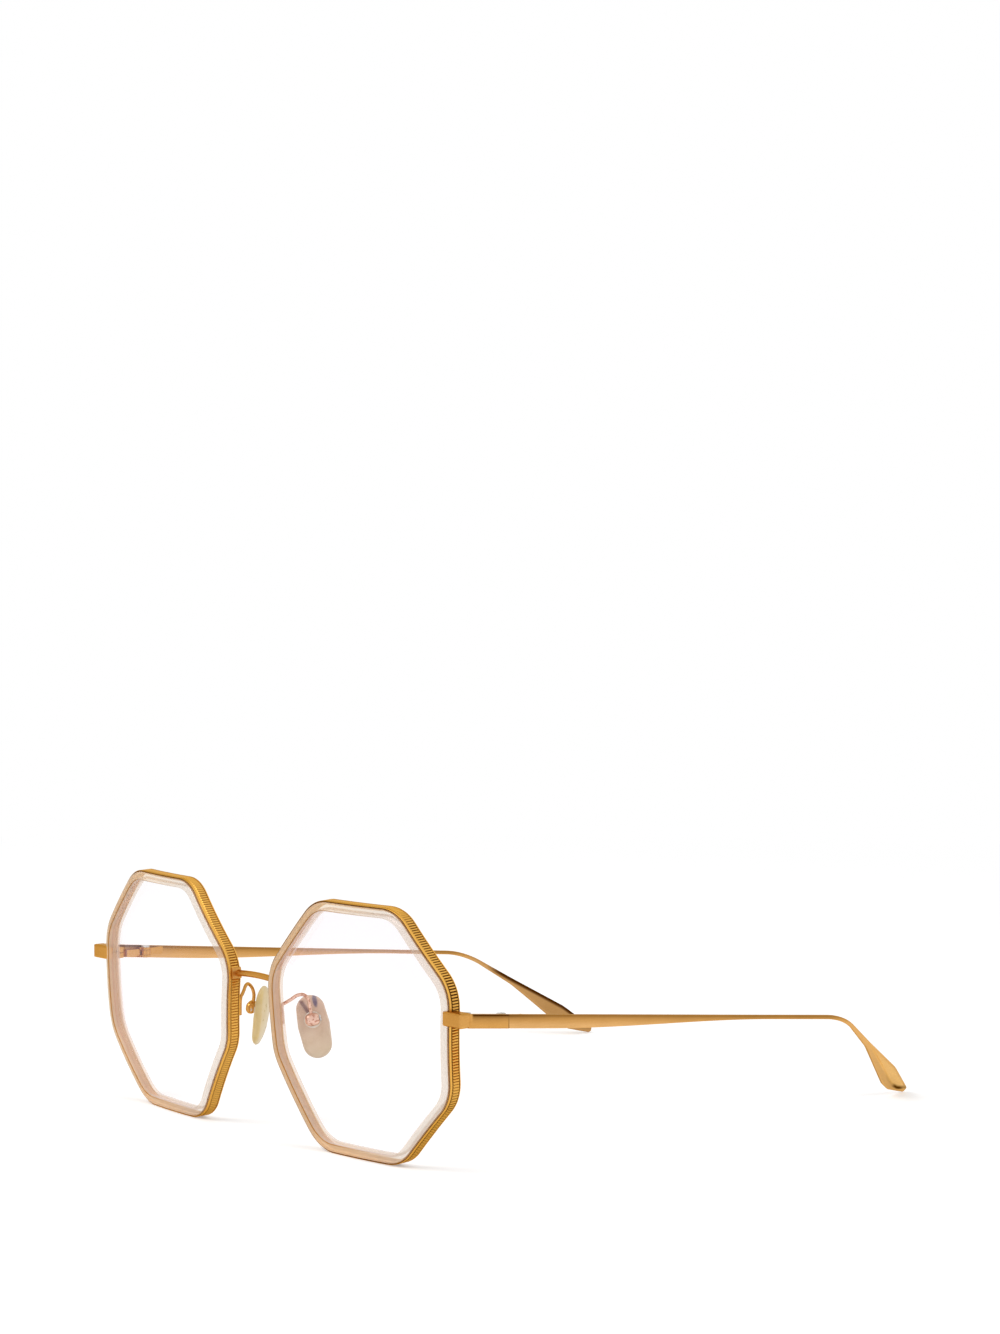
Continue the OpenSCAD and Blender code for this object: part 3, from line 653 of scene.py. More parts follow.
@finish("clear_pad_plastic")
def pad_plastic(sheet):
    """Clear plastic with painted shade towards its edges; the left pad carries painted reflections
    of its dark wire and of the purple of the lens's coating.
    """
    place = sheet.place()
    haze = sheet.noise(place, 420.0, 3.0)
    side, _, height = sheet.split(place)
    through_lens = (height * 90.0 - 1.65).limited()
    left_plain = sheet.blend(through_lens, LOW_LEFT_PAD, colours().left_pad)
    left = leftness(side, 200.0)
    # Painted shade towards the edges, by how far the surface turns away
    edge = 0.75 * sheet.facing() ** 2.5
    plain = sheet.blend(edge, sheet.blend(left, colours().pad, left_plain), PAD_EDGE_SHADE)
    across, along = pad_places(sheet)
    # Painted reflections on the left pad: a dark red band of its wire and a purple patch of the
    # lens's coating
    from_streak = (across + 0.46 + (along - 2.9) * 0.41).size()
    painted_wire_reflection = (1.6 - from_streak / 0.42).limited() * along.ramp(2.5, 2.9) * along.ramp(6.2, 5.8)
    plain = sheet.blend(painted_wire_reflection * left, plain, RED_WIRE_REFLECTION)
    from_spot = ((across - 1.28) / 0.65) ** 2.0 + ((along - 5.4) / 1.8) ** 2.0
    painted_coating_reflection = (1.4 - 1.4 * from_spot).limited()
    plain = sheet.blend(painted_coating_reflection * left, plain, PURPLE_COATING_REFLECTION)
    hazy = sheet.blend(0.35, plain, PAD_HAZE)
    body = sheet.surface({
        "Base Color": sheet.blend((haze * 1.2 - 0.1).limited(), plain, hazy),
        "Roughness": 0.22 + 0.14 * haze,
        "IOR": 1.45,
        "Normal": sheet.bump(haze, 0.06, 0.0002),
    })
    clear = sheet.see_through(PAD_TINT)
    dark = left * painted_wire_reflection.larger(painted_coating_reflection)
    share = 0.66 + 0.12 * haze + 0.3 * sheet.facing() ** 3.0 + 0.3 * dark
    sheet.output(sheet.mixed(share.limited(), clear, body))


def corner_circles():
    """Centre of each rounded corner of an eye, and the directions of its arc's start and end."""
    corners = [Vector(corner) for corner in EYE_CORNERS]
    outs = []
    for here, there in zip(corners, corners[1:] + corners[:1]):
        along = there - here
        outs.append(Vector((along.y, -along.x)).normalized())
    return [
        (corner - CORNER_R * (before + after) / (1 + before.dot(after)), before, after)
        for corner, before, after in zip(corners, outs[-1:] + outs[:-1], outs)
    ]


def drawn_out(bm, loop):
    """Draws a loop of edges out, and gives the new points, the new loop and the new faces."""
    made = bmesh.ops.extrude_edge_only(bm, edges=loop)["geom"]
    verts = [item for item in made if isinstance(item, bmesh.types.BMVert)]
    fresh = set(verts)
    edges = [
        item for item in made
        if isinstance(item, bmesh.types.BMEdge) and fresh.issuperset(item.verts)
    ]
    faces = [item for item in made if isinstance(item, bmesh.types.BMFace)]
    return verts, edges, faces


class EyeBand:
    """A band drawn round an eye's octagon, through points given as (outwards, backwards)."""

    def __init__(self, first, pitch, groove=0.0):
        self.bm = bmesh.new()
        self.out = self.bm.verts.layers.float_vector.new("out")
        self.here = first
        grow, back = first
        radius = CORNER_R + grow
        arcs = []
        for centre, start, end in corner_circles():
            middle = Vector((centre.x, back, centre.y))
            edge = middle + radius * Vector((start.x, 0, start.y))
            seed = bmesh.ops.create_vert(self.bm, co=edge)["vert"]
            known = set(self.bm.verts) - set(seed)
            angle = start.angle(end)
            bmesh.ops.spin(
                self.bm, geom=seed, cent=middle, axis=(0, -1, 0), dvec=(0, 0, 0), angle=angle,
                steps=max(3, round(radius * angle / pitch)), use_duplicate=False,
            )
            arc = sorted(
                set(self.bm.verts) - known,
                key=lambda vert: start.angle(Vector((vert.co - middle).xz)),
            )
            for vert in arc:
                vert[self.out] = (vert.co - middle).normalized()
            arcs.append(arc)
        for arc, following in zip(arcs, arcs[1:] + arcs[:1]):
            self.bm.edges.new((arc[-1], following[0]))
        self.divide(pitch)
        self.groove = self.bm.verts.layers.float.new("groove")
        self.inside = self.bm.verts.layers.float.new("inside")
        self.out = self.bm.verts.layers.float_vector["out"]
        for vert in self.bm.verts:
            vert[self.groove] = groove
        self.first_loop = list(self.bm.edges)
        self.loop = list(self.bm.edges)

    def divide(self, pitch):
        """Divides the straight sides; the handles of layers have to be fetched again after it."""
        while True:
            longest = max(self.bm.edges, key=lambda edge: edge.calc_length())
            cuts = round(longest.calc_length() / pitch) - 1
            if cuts < 1:
                return
            bmesh.ops.subdivide_edges(self.bm, edges=[longest], cuts=cuts)

    def go(self, *points, groove=0.0, inside=0.0):
        """Draws the band on through some points, marks it there, and gives its last faces."""
        for point in points:
            verts, self.loop, faces = drawn_out(self.bm, self.loop)
            outwards, backwards = point[0] - self.here[0], point[1] - self.here[1]
            for vert in verts:
                vert.co += outwards * vert[self.out] + Vector((0, backwards, 0))
                vert[self.groove] = groove
                vert[self.inside] = inside
            self.here = point
        return faces

    def shut(self):
        bmesh.ops.remove_doubles(self.bm, verts=self.bm.verts, dist=0.001)

    def fill_in(self, loop, steps):
        """Closes a loop towards the eye's middle with ever smaller ones."""
        for number in range(steps, 1, -1):
            verts, loop, _ = drawn_out(self.bm, loop)
            size = (number - 1) / number
            bmesh.ops.scale(self.bm, vec=(size, 1, size), verts=verts)
        verts, _, _ = drawn_out(self.bm, loop)
        bmesh.ops.pointmerge(self.bm, verts=verts, merge_co=(0, verts[0].co.y, 0))

    def at_eye(self):
        """Lays the flat band on the sphere that the lenses follow, and puts it at the left eye."""
        for vert in self.bm.verts:
            across = vert.co.x * vert.co.x + vert.co.z * vert.co.z
            vert.co.y += BASE_R - math.sqrt(BASE_R * BASE_R - across)
        self.bm.transform(AT_EYE)
        return self.bm


class Loft:
    """A skin over a row of rings, each with as many points, in millimetres."""

    def __init__(self, first):
        self.bm = bmesh.new()
        self.around = self.bm.verts.layers.int.new("around")
        self.groove = self.bm.verts.layers.float.new("groove")
        verts = bmesh.ops.create_circle(self.bm, segments=len(first), radius=1)["verts"]
        for number, vert in enumerate(verts):
            vert[self.around] = number
            vert.co = first[number]
        self.first_loop = list(self.bm.edges)
        self.loop = list(self.bm.edges)

    def ring(self, points, grooves=None):
        """Draws the skin on to the next ring, with the groove mark, a share of painted shade, of
        each of its points.
        """
        verts, self.loop, _ = drawn_out(self.bm, self.loop)
        for vert in verts:
            vert.co = points[vert[self.around]]
            vert[self.groove] = grooves[vert[self.around]] if grooves else 0.0

    def shut(self, start, end):
        """Closes both ends, each towards a point."""
        for loop, point in ((self.first_loop, start), (self.loop, end)):
            verts, _, _ = drawn_out(self.bm, loop)
            bmesh.ops.pointmerge(self.bm, verts=verts, merge_co=point)


# Steps round each corner of a temple's section, and along each of its two tall sides
CORNER_STEPS = 6
SIDE_STEPS = 18


def rounded_section(half_out, half_up, radius):
    """Points round a rounded rectangle, as (outwards, upwards)."""
    points = []
    for quarter, (out, up) in enumerate(((1, 1), (-1, 1), (-1, -1), (1, -1))):
        middle = Vector((out * (half_out - radius), up * (half_up - radius)))
        for step in range(CORNER_STEPS):
            angle = math.radians(90 * (quarter + (step + 0.5) / CORNER_STEPS))
            points.append(middle + radius * Vector((math.cos(angle), math.sin(angle))))
        if quarter in (1, 3):
            last = points[-1].copy()
            for step in range(1, SIDE_STEPS):
                points.append(Vector((last.x, last.y * (1 - 2 * step / SIDE_STEPS))))
    return points


def smooth_path(knots, pieces):
    """A smooth curve through the knots, with that many pieces between two of them."""
    padded = [2 * knots[0] - knots[1]] + knots + [2 * knots[-1] - knots[-2]]
    path = []
    for a, b, c, d in zip(padded, padded[1:], padded[2:], padded[3:]):
        slope, bend, twist = c - a, 2 * a - 5 * b + 4 * c - d, 3 * b - a - 3 * c + d
        for step in range(pieces):
            t = step / pieces
            path.append(0.5 * (2 * b + slope * t + bend * t * t + twist * t ** 3))
    return path + [knots[-1]]


def wire(path, radii, sides):
    """A round wire along a path, whose ends bulge by 0.4 of their radius."""
    pairs = zip([path[0]] + path[:-1], path[1:] + [path[-1]])
    along = [(after - before).normalized() for before, after in pairs]
    side = along[0].orthogonal().normalized()
    turns = [2 * math.pi * number / sides for number in range(sides)]
    rings = []
    for centre, forward, radius in zip(path, along, radii):
        side = (side - forward * side.dot(forward)).normalized()
        up = forward.cross(side)
        rings.append([
            centre + radius * (math.cos(turn) * side + math.sin(turn) * up) for turn in turns
        ])
    skin = Loft(rings[0])
    for ring in rings[1:]:
        skin.ring(ring)
    start_cap, end_cap = 0.4 * radii[0] * along[0], 0.4 * radii[-1] * along[-1]
    skin.shut(path[0] - start_cap, path[-1] + end_cap)
    return skin.bm


def in_order(bm):
    """Sorts the elements by their places, as operators leave them in a varying order."""
    for number, vert in enumerate(sorted(bm.verts, key=lambda vert: tuple(vert.co))):
        vert.index = number
    bm.verts.sort()
    for parts in (bm.edges, bm.faces):
        ranks = {part: sorted(vert.index for vert in part.verts) for part in parts}
        for number, part in enumerate(sorted(parts, key=ranks.get)):
            part.index = number
        parts.sort()


def piece_from(bm, name, body, material, replaces, sharp=40, right=False):
    """Makes a piece of the bmesh, which is in millimetres, riding on its body."""
    if right:
        bmesh.ops.scale(bm, vec=(-1, 1, 1), verts=bm.verts)
    bmesh.ops.recalc_face_normals(bm, faces=bm.faces)
    bm.transform(TO_METRES)
    in_order(bm)
    mesh = bpy.data.meshes.new(name)
    bm.to_mesh(mesh)
    bm.free()
    mesh.shade_smooth()
    mesh.set_sharp_from_angle(angle=math.radians(sharp))
    mesh.materials.append(material)
    piece = bpy.data.objects.new(name, mesh)
    bpy.context.scene.collection.objects.link(piece)
    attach(piece, body)
    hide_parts(*replaces)


def pair_of(shape, stem, material, node, bodies=("front", "front"), sharp=40):
    """Makes a shape of the wearer's left side, and its mirror image on the right."""
    for side, body in zip(("left", "right"), bodies):
        name, replaces = f"{stem}_{side}", [f"{node}_{side}"]
        piece_from(shape(), name, body, material, replaces, sharp, side == "right")


# How far the rounding of an edge reaches, and how far its middle lies inside the corner
RIM_ROUND, RIM_CHIP = 0.12, 0.03
SHELF_ROUND, SHELF_CHIP = 0.08, 0.06
RING_ROUND, RING_CHIP = 0.2, 0.06
LENS_CHIP = 0.06
BORDER_CHIP = 0.02

# Where a rim's front face starts and is flat, the strip before its ribs, and the share of
# their pitch over which their sides slope
RIM_LIP, RIM_FLAT = 0.04, 0.13
PLAIN_STRIP = 0.18
RIB_SLOPE = 0.32

# Length of a step round the rings and lenses, and steps to a lens's middle
RING_STEP = 0.9
LENS_STEP = 1.4
LENS_LOOPS = 14

# The cut of a rim lies farther out than this, and is made in the faces near its height
OUTER_SIDE = 20.0
CUT_REACH = 1.5


def rim_band():
    """The left rim, with its shelf for the ring and ribs between two plain borders."""
    sizes = bpy.context.scene.eyewear_rims
    ribs_front = RIM_FRONT + sizes.front_border * 1000
    ribs_back = RIM_BACK - sizes.rear_border * 1000
    height = sizes.rib_height * 1000
    low = RIM_WALL - height
    pitch = sizes.rib_pitch * 1000
    first = (RIM_LIP, RIM_FRONT + RIM_CHIP)
    # The groove mark sets the painted shade: on the front lip beside the ring, a little less on the
    # flat beside it, and in the grooves between the ribs
    band = EyeBand(first, pitch, groove=1.0)
    band.go((RIM_FLAT, RIM_FRONT), groove=0.8)
    band.go(
        (RIM_WALL - 0.1, RIM_FRONT), (RIM_WALL - RIM_CHIP, RIM_FRONT + RIM_CHIP),
        (RIM_WALL, RIM_FRONT + RIM_ROUND), (RIM_WALL, ribs_front - RIM_CHIP),
        (RIM_WALL - BORDER_CHIP, ribs_front),
    )
    band.go((low, ribs_front + RIM_CHIP), (low, ribs_front + PLAIN_STRIP), groove=1.0)
    ribs = band.go((low, ribs_back - RIM_CHIP), groove=1.0)
    band.go(
        (RIM_WALL - BORDER_CHIP, ribs_back), (RIM_WALL, ribs_back + RIM_CHIP),
        (RIM_WALL, RIM_BACK - RIM_ROUND), (RIM_WALL - RIM_CHIP, RIM_BACK - RIM_CHIP),
        (RIM_WALL - RIM_ROUND, RIM_BACK), (-SHELF_W + SHELF_ROUND, RIM_BACK),
    )
    band.go(
        (-SHELF_W, RIM_BACK - SHELF_ROUND), (-SHELF_W, SHELF_FRONT + SHELF_CHIP),
        (-SHELF_W + SHELF_CHIP, SHELF_FRONT), (0, SHELF_FRONT), (0, RIM_FRONT + SHELF_ROUND),
        inside=1.0,
    )
    band.go(first, groove=1.0)
    band.shut()
    bmesh.ops.recalc_face_normals(band.bm, faces=band.bm.faces)
    bmesh.ops.inset_individual(
        band.bm, faces=ribs, thickness=RIB_SLOPE * pitch, depth=height, use_even_offset=True,
    )
    for face in ribs:
        for vert in face.verts:
            vert[band.groove] = 0.0
    cut_gap(band.bm)
    return band.at_eye()


def outer_faces(bm, low, high):
    """Faces on an eye's outer side whose middles lie between two heights."""
    middles = [(face, face.calc_center_median()) for face in bm.faces]
    return [face for face, middle in middles if middle.x > OUTER_SIDE and low < middle.z < high]


def from_least(corners):
    """A face's corners from the one with the least place on, towards the lesser neighbour."""
    places = [tuple(corner.co) for corner in corners]
    start = places.index(min(places))
    corners = corners[start:] + corners[:start]
    if tuple(corners[-1].co) < tuple(corners[1].co):
        corners[1:] = reversed(corners[1:])
    return corners


def cut_gap(bm):
    """Cuts the rim through beside the endpiece, where the rim screw closes it."""
    edges = (CUT_Z - CUT_W / 2, CUT_Z + CUT_W / 2)
    for height in edges:
        near = outer_faces(bm, CUT_Z - CUT_REACH, CUT_Z + CUT_REACH)
        parts = dict.fromkeys(near)
        for face in near:
            parts.update(dict.fromkeys((*face.edges, *face.verts)))
        bmesh.ops.bisect_plane(
            bm, geom=list(parts), dist=0.0005, plane_co=(0, 0, height), plane_no=(0, 0, 1),
        )
    bmesh.ops.delete(bm, geom=outer_faces(bm, *edges), context="FACES")
    open_edges = [edge for edge in bm.edges if edge.is_boundary]
    # The fill starts a face at a corner that varies from run to run, so each is made anew
    for cap in bmesh.ops.holes_fill(bm, edges=open_edges, sides=0)["faces"]:
        corners = from_least(list(cap.verts))
        bm.faces.remove(cap)
        bm.faces.new(corners)


def ring_band():
    """The left inner ring: stepped where it sits in the rim, and grooved for the lens."""
    outer = -RING_GAP
    rear = -SHELF_W - RING_GAP
    # The groove mark sets the painted brown shade line along the ring's outer front edge beside the
    # rim, and the inside mark the one along its inner front edge
    band = EyeBand((outer, RIM_FRONT), RING_STEP, groove=1.0)
    band.go((outer, 0.22), groove=1.0)
    band.go((outer - 0.05, 0.09), groove=0.3)
    band.go((outer - RING_ROUND, 0.0), (-1.0, -0.02), (-RING_W + 0.3, 0.0))
    band.go((-RING_W + 0.12, 0.05), (-RING_W + 0.02, 0.17), inside=1.0)
    band.go(
        (-RING_W, 0.35), (-RING_W, GROOVE_FRONT), (GROOVE_EDGE, GROOVE_FRONT),
        (GROOVE_EDGE, GROOVE_BACK), (-RING_W, GROOVE_BACK), (-RING_W, RING_DEPTH - RING_ROUND),
        (-RING_W + RING_CHIP, RING_DEPTH - RING_CHIP), (-RING_W + RING_ROUND, RING_DEPTH),
        (rear - RING_ROUND, RING_DEPTH), (rear - RING_CHIP, RING_DEPTH - RING_CHIP),
        (rear, RING_DEPTH - RING_ROUND), (rear, SHELF_FRONT), (outer, SHELF_FRONT),
        (outer, RIM_FRONT + 0.12),
    )
    band.go((outer, RIM_FRONT), groove=1.0)
    band.shut()
    return band.at_eye()


def lens_shell():
    """The left lens: a thin curved shell whose edge sits in the ring's groove."""
    band = EyeBand((LENS_EDGE - LENS_CHIP, LENS_FRONT), LENS_STEP)
    band.go(
        (LENS_EDGE, LENS_FRONT + LENS_CHIP), (LENS_EDGE, LENS_BACK - LENS_CHIP),
        (LENS_EDGE - LENS_CHIP, LENS_BACK),
    )
    band.fill_in(band.first_loop, LENS_LOOPS)
    band.fill_in(band.loop, LENS_LOOPS)
    return band.at_eye()


# Steps in each half of the bridge, the one from which it grows thicker, and by how much
BRIDGE_STEPS = 20
FLARE_FROM = 16
BRIDGE_FLARE = 0.16


def bridge_bar():
    """The arched bridge, a little thicker where it meets its lugs."""
    centre = Vector((0, BRIDGE_Y, BRIDGE_Z - BRIDGE_ARC_R))
    reach = math.asin(BRIDGE_HALF / BRIDGE_ARC_R)
    path, radii = [], []
    for number in range(-BRIDGE_STEPS, BRIDGE_STEPS + 1):
        turn = reach * number / BRIDGE_STEPS
        path.append(centre + BRIDGE_ARC_R * Vector((math.sin(turn), 0, math.cos(turn))))
        flare = max(0.0, (abs(number) - FLARE_FROM) / (BRIDGE_STEPS - FLARE_FROM))
        radii.append(BRIDGE_D / 2 + BRIDGE_FLARE * flare * flare)
    bm = wire(path, radii, sides=24)
    bm.transform(STANDING)
    return bm


def ramp(value, start, end):
    """0 up to start and 1 from end on, with a smooth change between them."""
    share = min(1.0, max(0.0, (value - start) / (end - start)))
    return share * share * (3 - 2 * share)


def hull_points(circles, count=360):
    """Points round the tightest outline of some circles, given as (x, y, radius)."""
    points = []
    for number in range(count):
        turn = 2 * math.pi * number / count
        out = Vector((math.cos(turn), math.sin(turn)))
        reaches = [Vector((x, y)) + r * out for x, y, r in circles]
        points.append(max(reaches, key=lambda point: point.dot(out)))
    return points


def span_at(points, x):
    """Lowest and highest point of a closed outline at x."""
    heights = []
    for a, b in zip(points, points[1:] + points[:1]):
        if (a.x - x) * (b.x - x) <= 0 and a.x != b.x:
            heights.append(a.y + (b.y - a.y) * (x - a.x) / (b.x - a.x))
    return min(heights), max(heights)


def bar_top(y):
    return TOP_AT_PIN - (y - PIN.y) * math.tan(BAR_SLOPE)


# Steps along a temple's bar, wire, bend and half its tip, and turns round the tip's end
BAR_STEPS = 40
WIRE_STEPS = 8
BEND_STEPS = 18
TIP_STEPS = 24
END_TURNS = (9, 18, 27, 36, 45, 54, 62, 69, 75, 80, 84, 87)

# The bar's chamfer and the step after it, where its edges grow rounder, and roundings as
# shares of half a thickness
BAR_CHAMFER = 0.06
BAR_FIRST_STEP = 0.2
ROUNDER_FROM = 20.0
BAR_END_ROUND = 0.85
WIRE_ROUND = 0.86
TIP_LESS_ROUND = 0.2

# Lengths in which the tip grows to its thickness, is stepped more finely, and thins at its
# end, and the share of its half thickness beyond which a point lies on one of its faces
TIP_GROWTH = 14.0
TIP_FINE = 8.0
END_THIN = 0.4
FACE_SHARE = 0.2

# Lower edge of the hollow in a temple tip's outer face, as (along, across)
HOLLOW_EDGE = (
    (8.0, 0.0), (13.5, -0.3), (23.3, -1.56), (29.7, -2.72), (32.3, -3.25), (35.0, -3.42),
    (37.4, -3.1), (39.0, -2.5), (40.2, -1.8), (41.5, -1.3),
)

# Directions of the left temple: outwards, and along and up its bar and its tip
OUT = Vector((1, 0, 0))
BAR_ALONG = Vector((0, math.cos(BAR_SLOPE), -math.sin(BAR_SLOPE)))
BAR_UP = OUT.cross(BAR_ALONG)
TIP_OUT, TIP_ALONG, TIP_UP = (
    Matrix.Rotation(TIP_TURN, 3, "Z")
    @ Matrix.Rotation(-TIP_DROP, 3, "X")
    @ Matrix.Rotation(TIP_TWIST, 3, "Y")
).transposed()

# The bend: where bar and tip would meet, its turn, and how far it reaches from there
BEND_POINT = Vector((
    ARM_OUTER - WIRE_D / 2, PIN.y + BEND_AT, bar_top(PIN.y + BEND_AT) - WIRE_D / 2,
))
BEND_TURN = BAR_ALONG.angle(TIP_ALONG)
BEND_REACH = BEND_R * math.tan(BEND_TURN / 2)


def bar_sections():
    """Sections of the bar, which thins into the wire, as (middle, out, up, points)."""
    edge_r = bpy.context.scene.eyewear_shapes.bar_round * 1000
    start = HINGE_GAP / 2
    places = [start, start + BAR_CHAMFER, start + BAR_FIRST_STEP]
    places += [start + (BAR_END - start) * n / BAR_STEPS for n in range(1, BAR_STEPS + 1)]
    for s in places:
        y = PIN.y + s
        height = BAR_H + (WIRE_D - BAR_H) * ramp(s, BAR_FULL, BAR_END)
        thinned = min(1.0, max(0.0, (s - LEAF_LEN) / (BAR_END - LEAF_LEN)))
        width = BAR_T + (WIRE_D - BAR_T) * thinned
        radius = edge_r + (BAR_END_ROUND * WIRE_D / 2 - edge_r) * ramp(s, ROUNDER_FROM, BAR_END)
        trim = BAR_CHAMFER if s == start else 0.0
        middle = Vector((ARM_OUTER - width / 2, y, bar_top(y) - height / 2))
        points = rounded_section(width / 2 - trim, height / 2 - trim, radius)
        yield middle, OUT, Vector((0, 0, 1)), points


def bend_sections():
    """Sections of the wire and its bend, which also rolls it to lie as the tip does."""
    points = rounded_section(WIRE_D / 2, WIRE_D / 2, WIRE_ROUND * WIRE_D / 2)
    start = BEND_POINT - BEND_REACH * BAR_ALONG
    wire_start = PIN.y + BAR_END
    for part in range(1, WIRE_STEPS):
        y = wire_start + (start.y - wire_start) * part / WIRE_STEPS
        yield Vector((start.x, y, bar_top(y) - WIRE_D / 2)), OUT, BAR_UP, points
    axis = BAR_ALONG.cross(TIP_ALONG).normalized()
    middle = start + BEND_R * axis.cross(BAR_ALONG)
    whole = Matrix.Rotation(BEND_TURN, 3, axis)
    left_over = math.atan2(TIP_OUT.dot(whole @ BAR_UP), TIP_OUT.dot(whole @ OUT))
    for part in range(BEND_STEPS + 1):
        share = part / BEND_STEPS
        turn = Matrix.Rotation(BEND_TURN * share, 3, axis)
        roll = Matrix.Rotation(-left_over * share, 3, turn @ BAR_ALONG)
        place = middle + turn @ (start - middle)
        yield place, roll @ (turn @ OUT), roll @ (turn @ BAR_UP), points


def hollow_edge(along):
    for (a, low), (b, high) in zip(HOLLOW_EDGE, HOLLOW_EDGE[1:]):
        if along <= b:
            return low + (high - low) * max(0.0, along - a) / (b - a)
    return HOLLOW_EDGE[-1][1]


def hollowed(along, above_edge, below_top, from_end):
    """Depth of the hollow and of the slope down to it, as a share of the hollow's depth."""
    scoop = ramp(above_edge, 0.0, 0.7) * ramp(below_top, 0.12, 0.42) * ramp(from_end, 0.5, 1.3)
    return ramp(along, 10, 24) * (scoop + 0.6 * ramp(above_edge, 0.1, -1.3))


def painted_hollow_shade(along, above_edge):
    """Painted shade: a dark crescent along the hollow's lower edge, where its lower wall lies in
    shadow, and a faint painted shade below it.
    """
    line = ramp(above_edge, -0.5, -0.05) * ramp(above_edge, 0.85, 0.15)
    depth = 0.3 * ramp(along, 27, 32) + 0.7 * ramp(along, 34, 36.4)
    fading = 1.0 - 0.45 * ramp(along, 38, 40)
    return max(line * depth * fading, 0.12 * ramp(along, 10, 24) * ramp(above_edge, 0.1, -0.2))


def painted_inner_edge_shade(along, below_top):
    """Painted shade along the upper edge of the tip's inner face, standing in for a dark
    reflection.
    """
    return ramp(below_top, 1.7, 0.6) * ramp(along, 6, 12) * ramp(along, 39, 36)


def tip_sections():
    """Sections of the tip, hollowed outside, with the painted shade of their points as groove
    marks.
    """
    hollow = bpy.context.scene.eyewear_shapes.tip_hollow * 1000
    upper_edge = WIRE_D / 2 - TIP_SINK
    neck = (TIP_NECK_AT, upper_edge - TIP_NECK_R, TIP_NECK_R)
    stem = hull_points([(BEND_REACH, 0, WIRE_D / 2), neck])
    leaf = hull_points([
        neck,
        (TIP_LEN - TIP_LOW_BACK, -TIP_END_DOWN - TIP_LOW_DOWN, TIP_LOW_R),
        (TIP_LEN, -TIP_END_DOWN, TIP_END_R),
        (TIP_LEN - TIP_SHOULDER_BACK, upper_edge - TIP_SHOULDER_R, TIP_SHOULDER_R),
    ])
    last = TIP_LEN + TIP_END_R
    fine = TIP_LEN - TIP_FINE
    steps = range(1, TIP_STEPS + 1)
    places = [BEND_REACH + (fine - BEND_REACH) * n / TIP_STEPS for n in steps]
    places += [fine + TIP_FINE * n / TIP_STEPS for n in steps]
    places += [TIP_LEN + TIP_END_R * math.sin(math.radians(turn)) for turn in END_TURNS]
    for y in places:
        low, high = span_at(stem if y < TIP_NECK_AT else leaf, y)
        middle, half_up = (low + high) / 2, (high - low) / 2
        grown = ramp(y, BEND_REACH, BEND_REACH + TIP_GROWTH)
        half_out = (WIRE_D + (TIP_T - WIRE_D) * grown) / 2
        near_end = max(0.0, (y - (last - END_THIN)) / END_THIN)
        half_out *= math.sqrt(max(0.05, 1 - near_end * near_end))
        radius = min(half_out, half_up) * (WIRE_ROUND - TIP_LESS_ROUND * grown)
        points, shades = rounded_section(half_out, half_up, radius), []
        for p in points:
            shade = 0.0
            if p.x > FACE_SHARE * half_out:
                above_edge = p.y + middle - hollow_edge(y)
                p.x -= hollow * hollowed(y, above_edge, half_up - p.y, last - y)
                shade = painted_hollow_shade(y, above_edge)
            elif p.x < -FACE_SHARE * half_out:
                shade = painted_inner_edge_shade(y, half_up - p.y)
            shades.append(shade)
        yield BEND_POINT + y * TIP_ALONG + middle * TIP_UP, TIP_OUT, TIP_UP, points, shades


def temple():
    """The left temple: bar, wire, bend and flat tip in one skin."""
    rings = []
    for middle, out, up, points, *shades in (*bar_sections(), *bend_sections(), *tip_sections()):
        rings.append(([middle + p.x * out + p.y * up for p in points], *shades))
    first = rings[0][0]
    skin = Loft(first)
    for ring in rings[1:]:
        skin.ring(*ring)
    tip_end = BEND_POINT + (TIP_LEN + TIP_END_R - 0.01) * TIP_ALONG - TIP_END_DOWN * TIP_UP
    skin.shut(sum(first, Vector()) / len(first), tip_end)
    skin.bm.transform(STANDING)
    return skin.bm


# Knots of a pad arm: heights above its box, how the highest leans, places from the foot's top,
# and heights of the foot on the rim's back
ARM_HEIGHTS = (-0.1, 1.6, 3.1, 4.1)
ARM_LEAN = Vector((-0.2, -0.8, 0))
ARM_KNOTS = ((1.9, 2.8, 1.75), (1.1, 1.7, 0.85), (0.4, 0.75, 0.15), (0.05, 0.15, -0.3))
FOOT_TOP = 2.5
FOOT_HEIGHTS = (0.8, -1.8)

# The height from which the arm leans outwards, and how deep its foot sinks into the rim
FLARE_HEIGHT = 1.7
FOOT_SINK = 0.02


def pad_to_face(x, y, z):
    """A point of the pad's own frame, in the face's frame."""
    return (STANDING.inverted() @ AT_PAD) @ Vector((x, y, z))


def eye_point(u, v, d):
    """A point across, up and behind the left eye's curved front, in the face's frame."""
    y = d + BASE_R - math.sqrt(BASE_R * BASE_R - u * u - v * v)
    return (STANDING.inverted() @ AT_EYE) @ Vector((u, y, v))


def pad_arm():
    """The left pad's wire, from its box up, round and down to its foot on the rim's back."""
    (upper_x, upper_z), (lower_x, lower_z) = EYE_CORNERS[3:5]

    def above_box(z):
        out = SCREW_OUT + ARM_FLARE * max(0.0, z - FLARE_HEIGHT)
        return pad_to_face(out, 0, BOX_UP + BOX_H / 2 + z)

    def foot(v):
        side = upper_x + (lower_x - upper_x) * (upper_z - v) / (upper_z - lower_z)
        return eye_point(side - RIM_WALL + ARM_D / 2, v, RIM_BACK + ARM_D / 2 - FOOT_SINK)

    knots = [above_box(height) for height in ARM_HEIGHTS]
    knots[-1] += ARM_LEAN
    knots += [foot(FOOT_TOP) + Vector(knot) for knot in ARM_KNOTS]
    knots += [foot(height) for height in FOOT_HEIGHTS]
    path = smooth_path(knots, pieces=8)
    bm = wire(path, [ARM_D / 2] * len(path), sides=16)
    bm.transform(STANDING)
    return bm


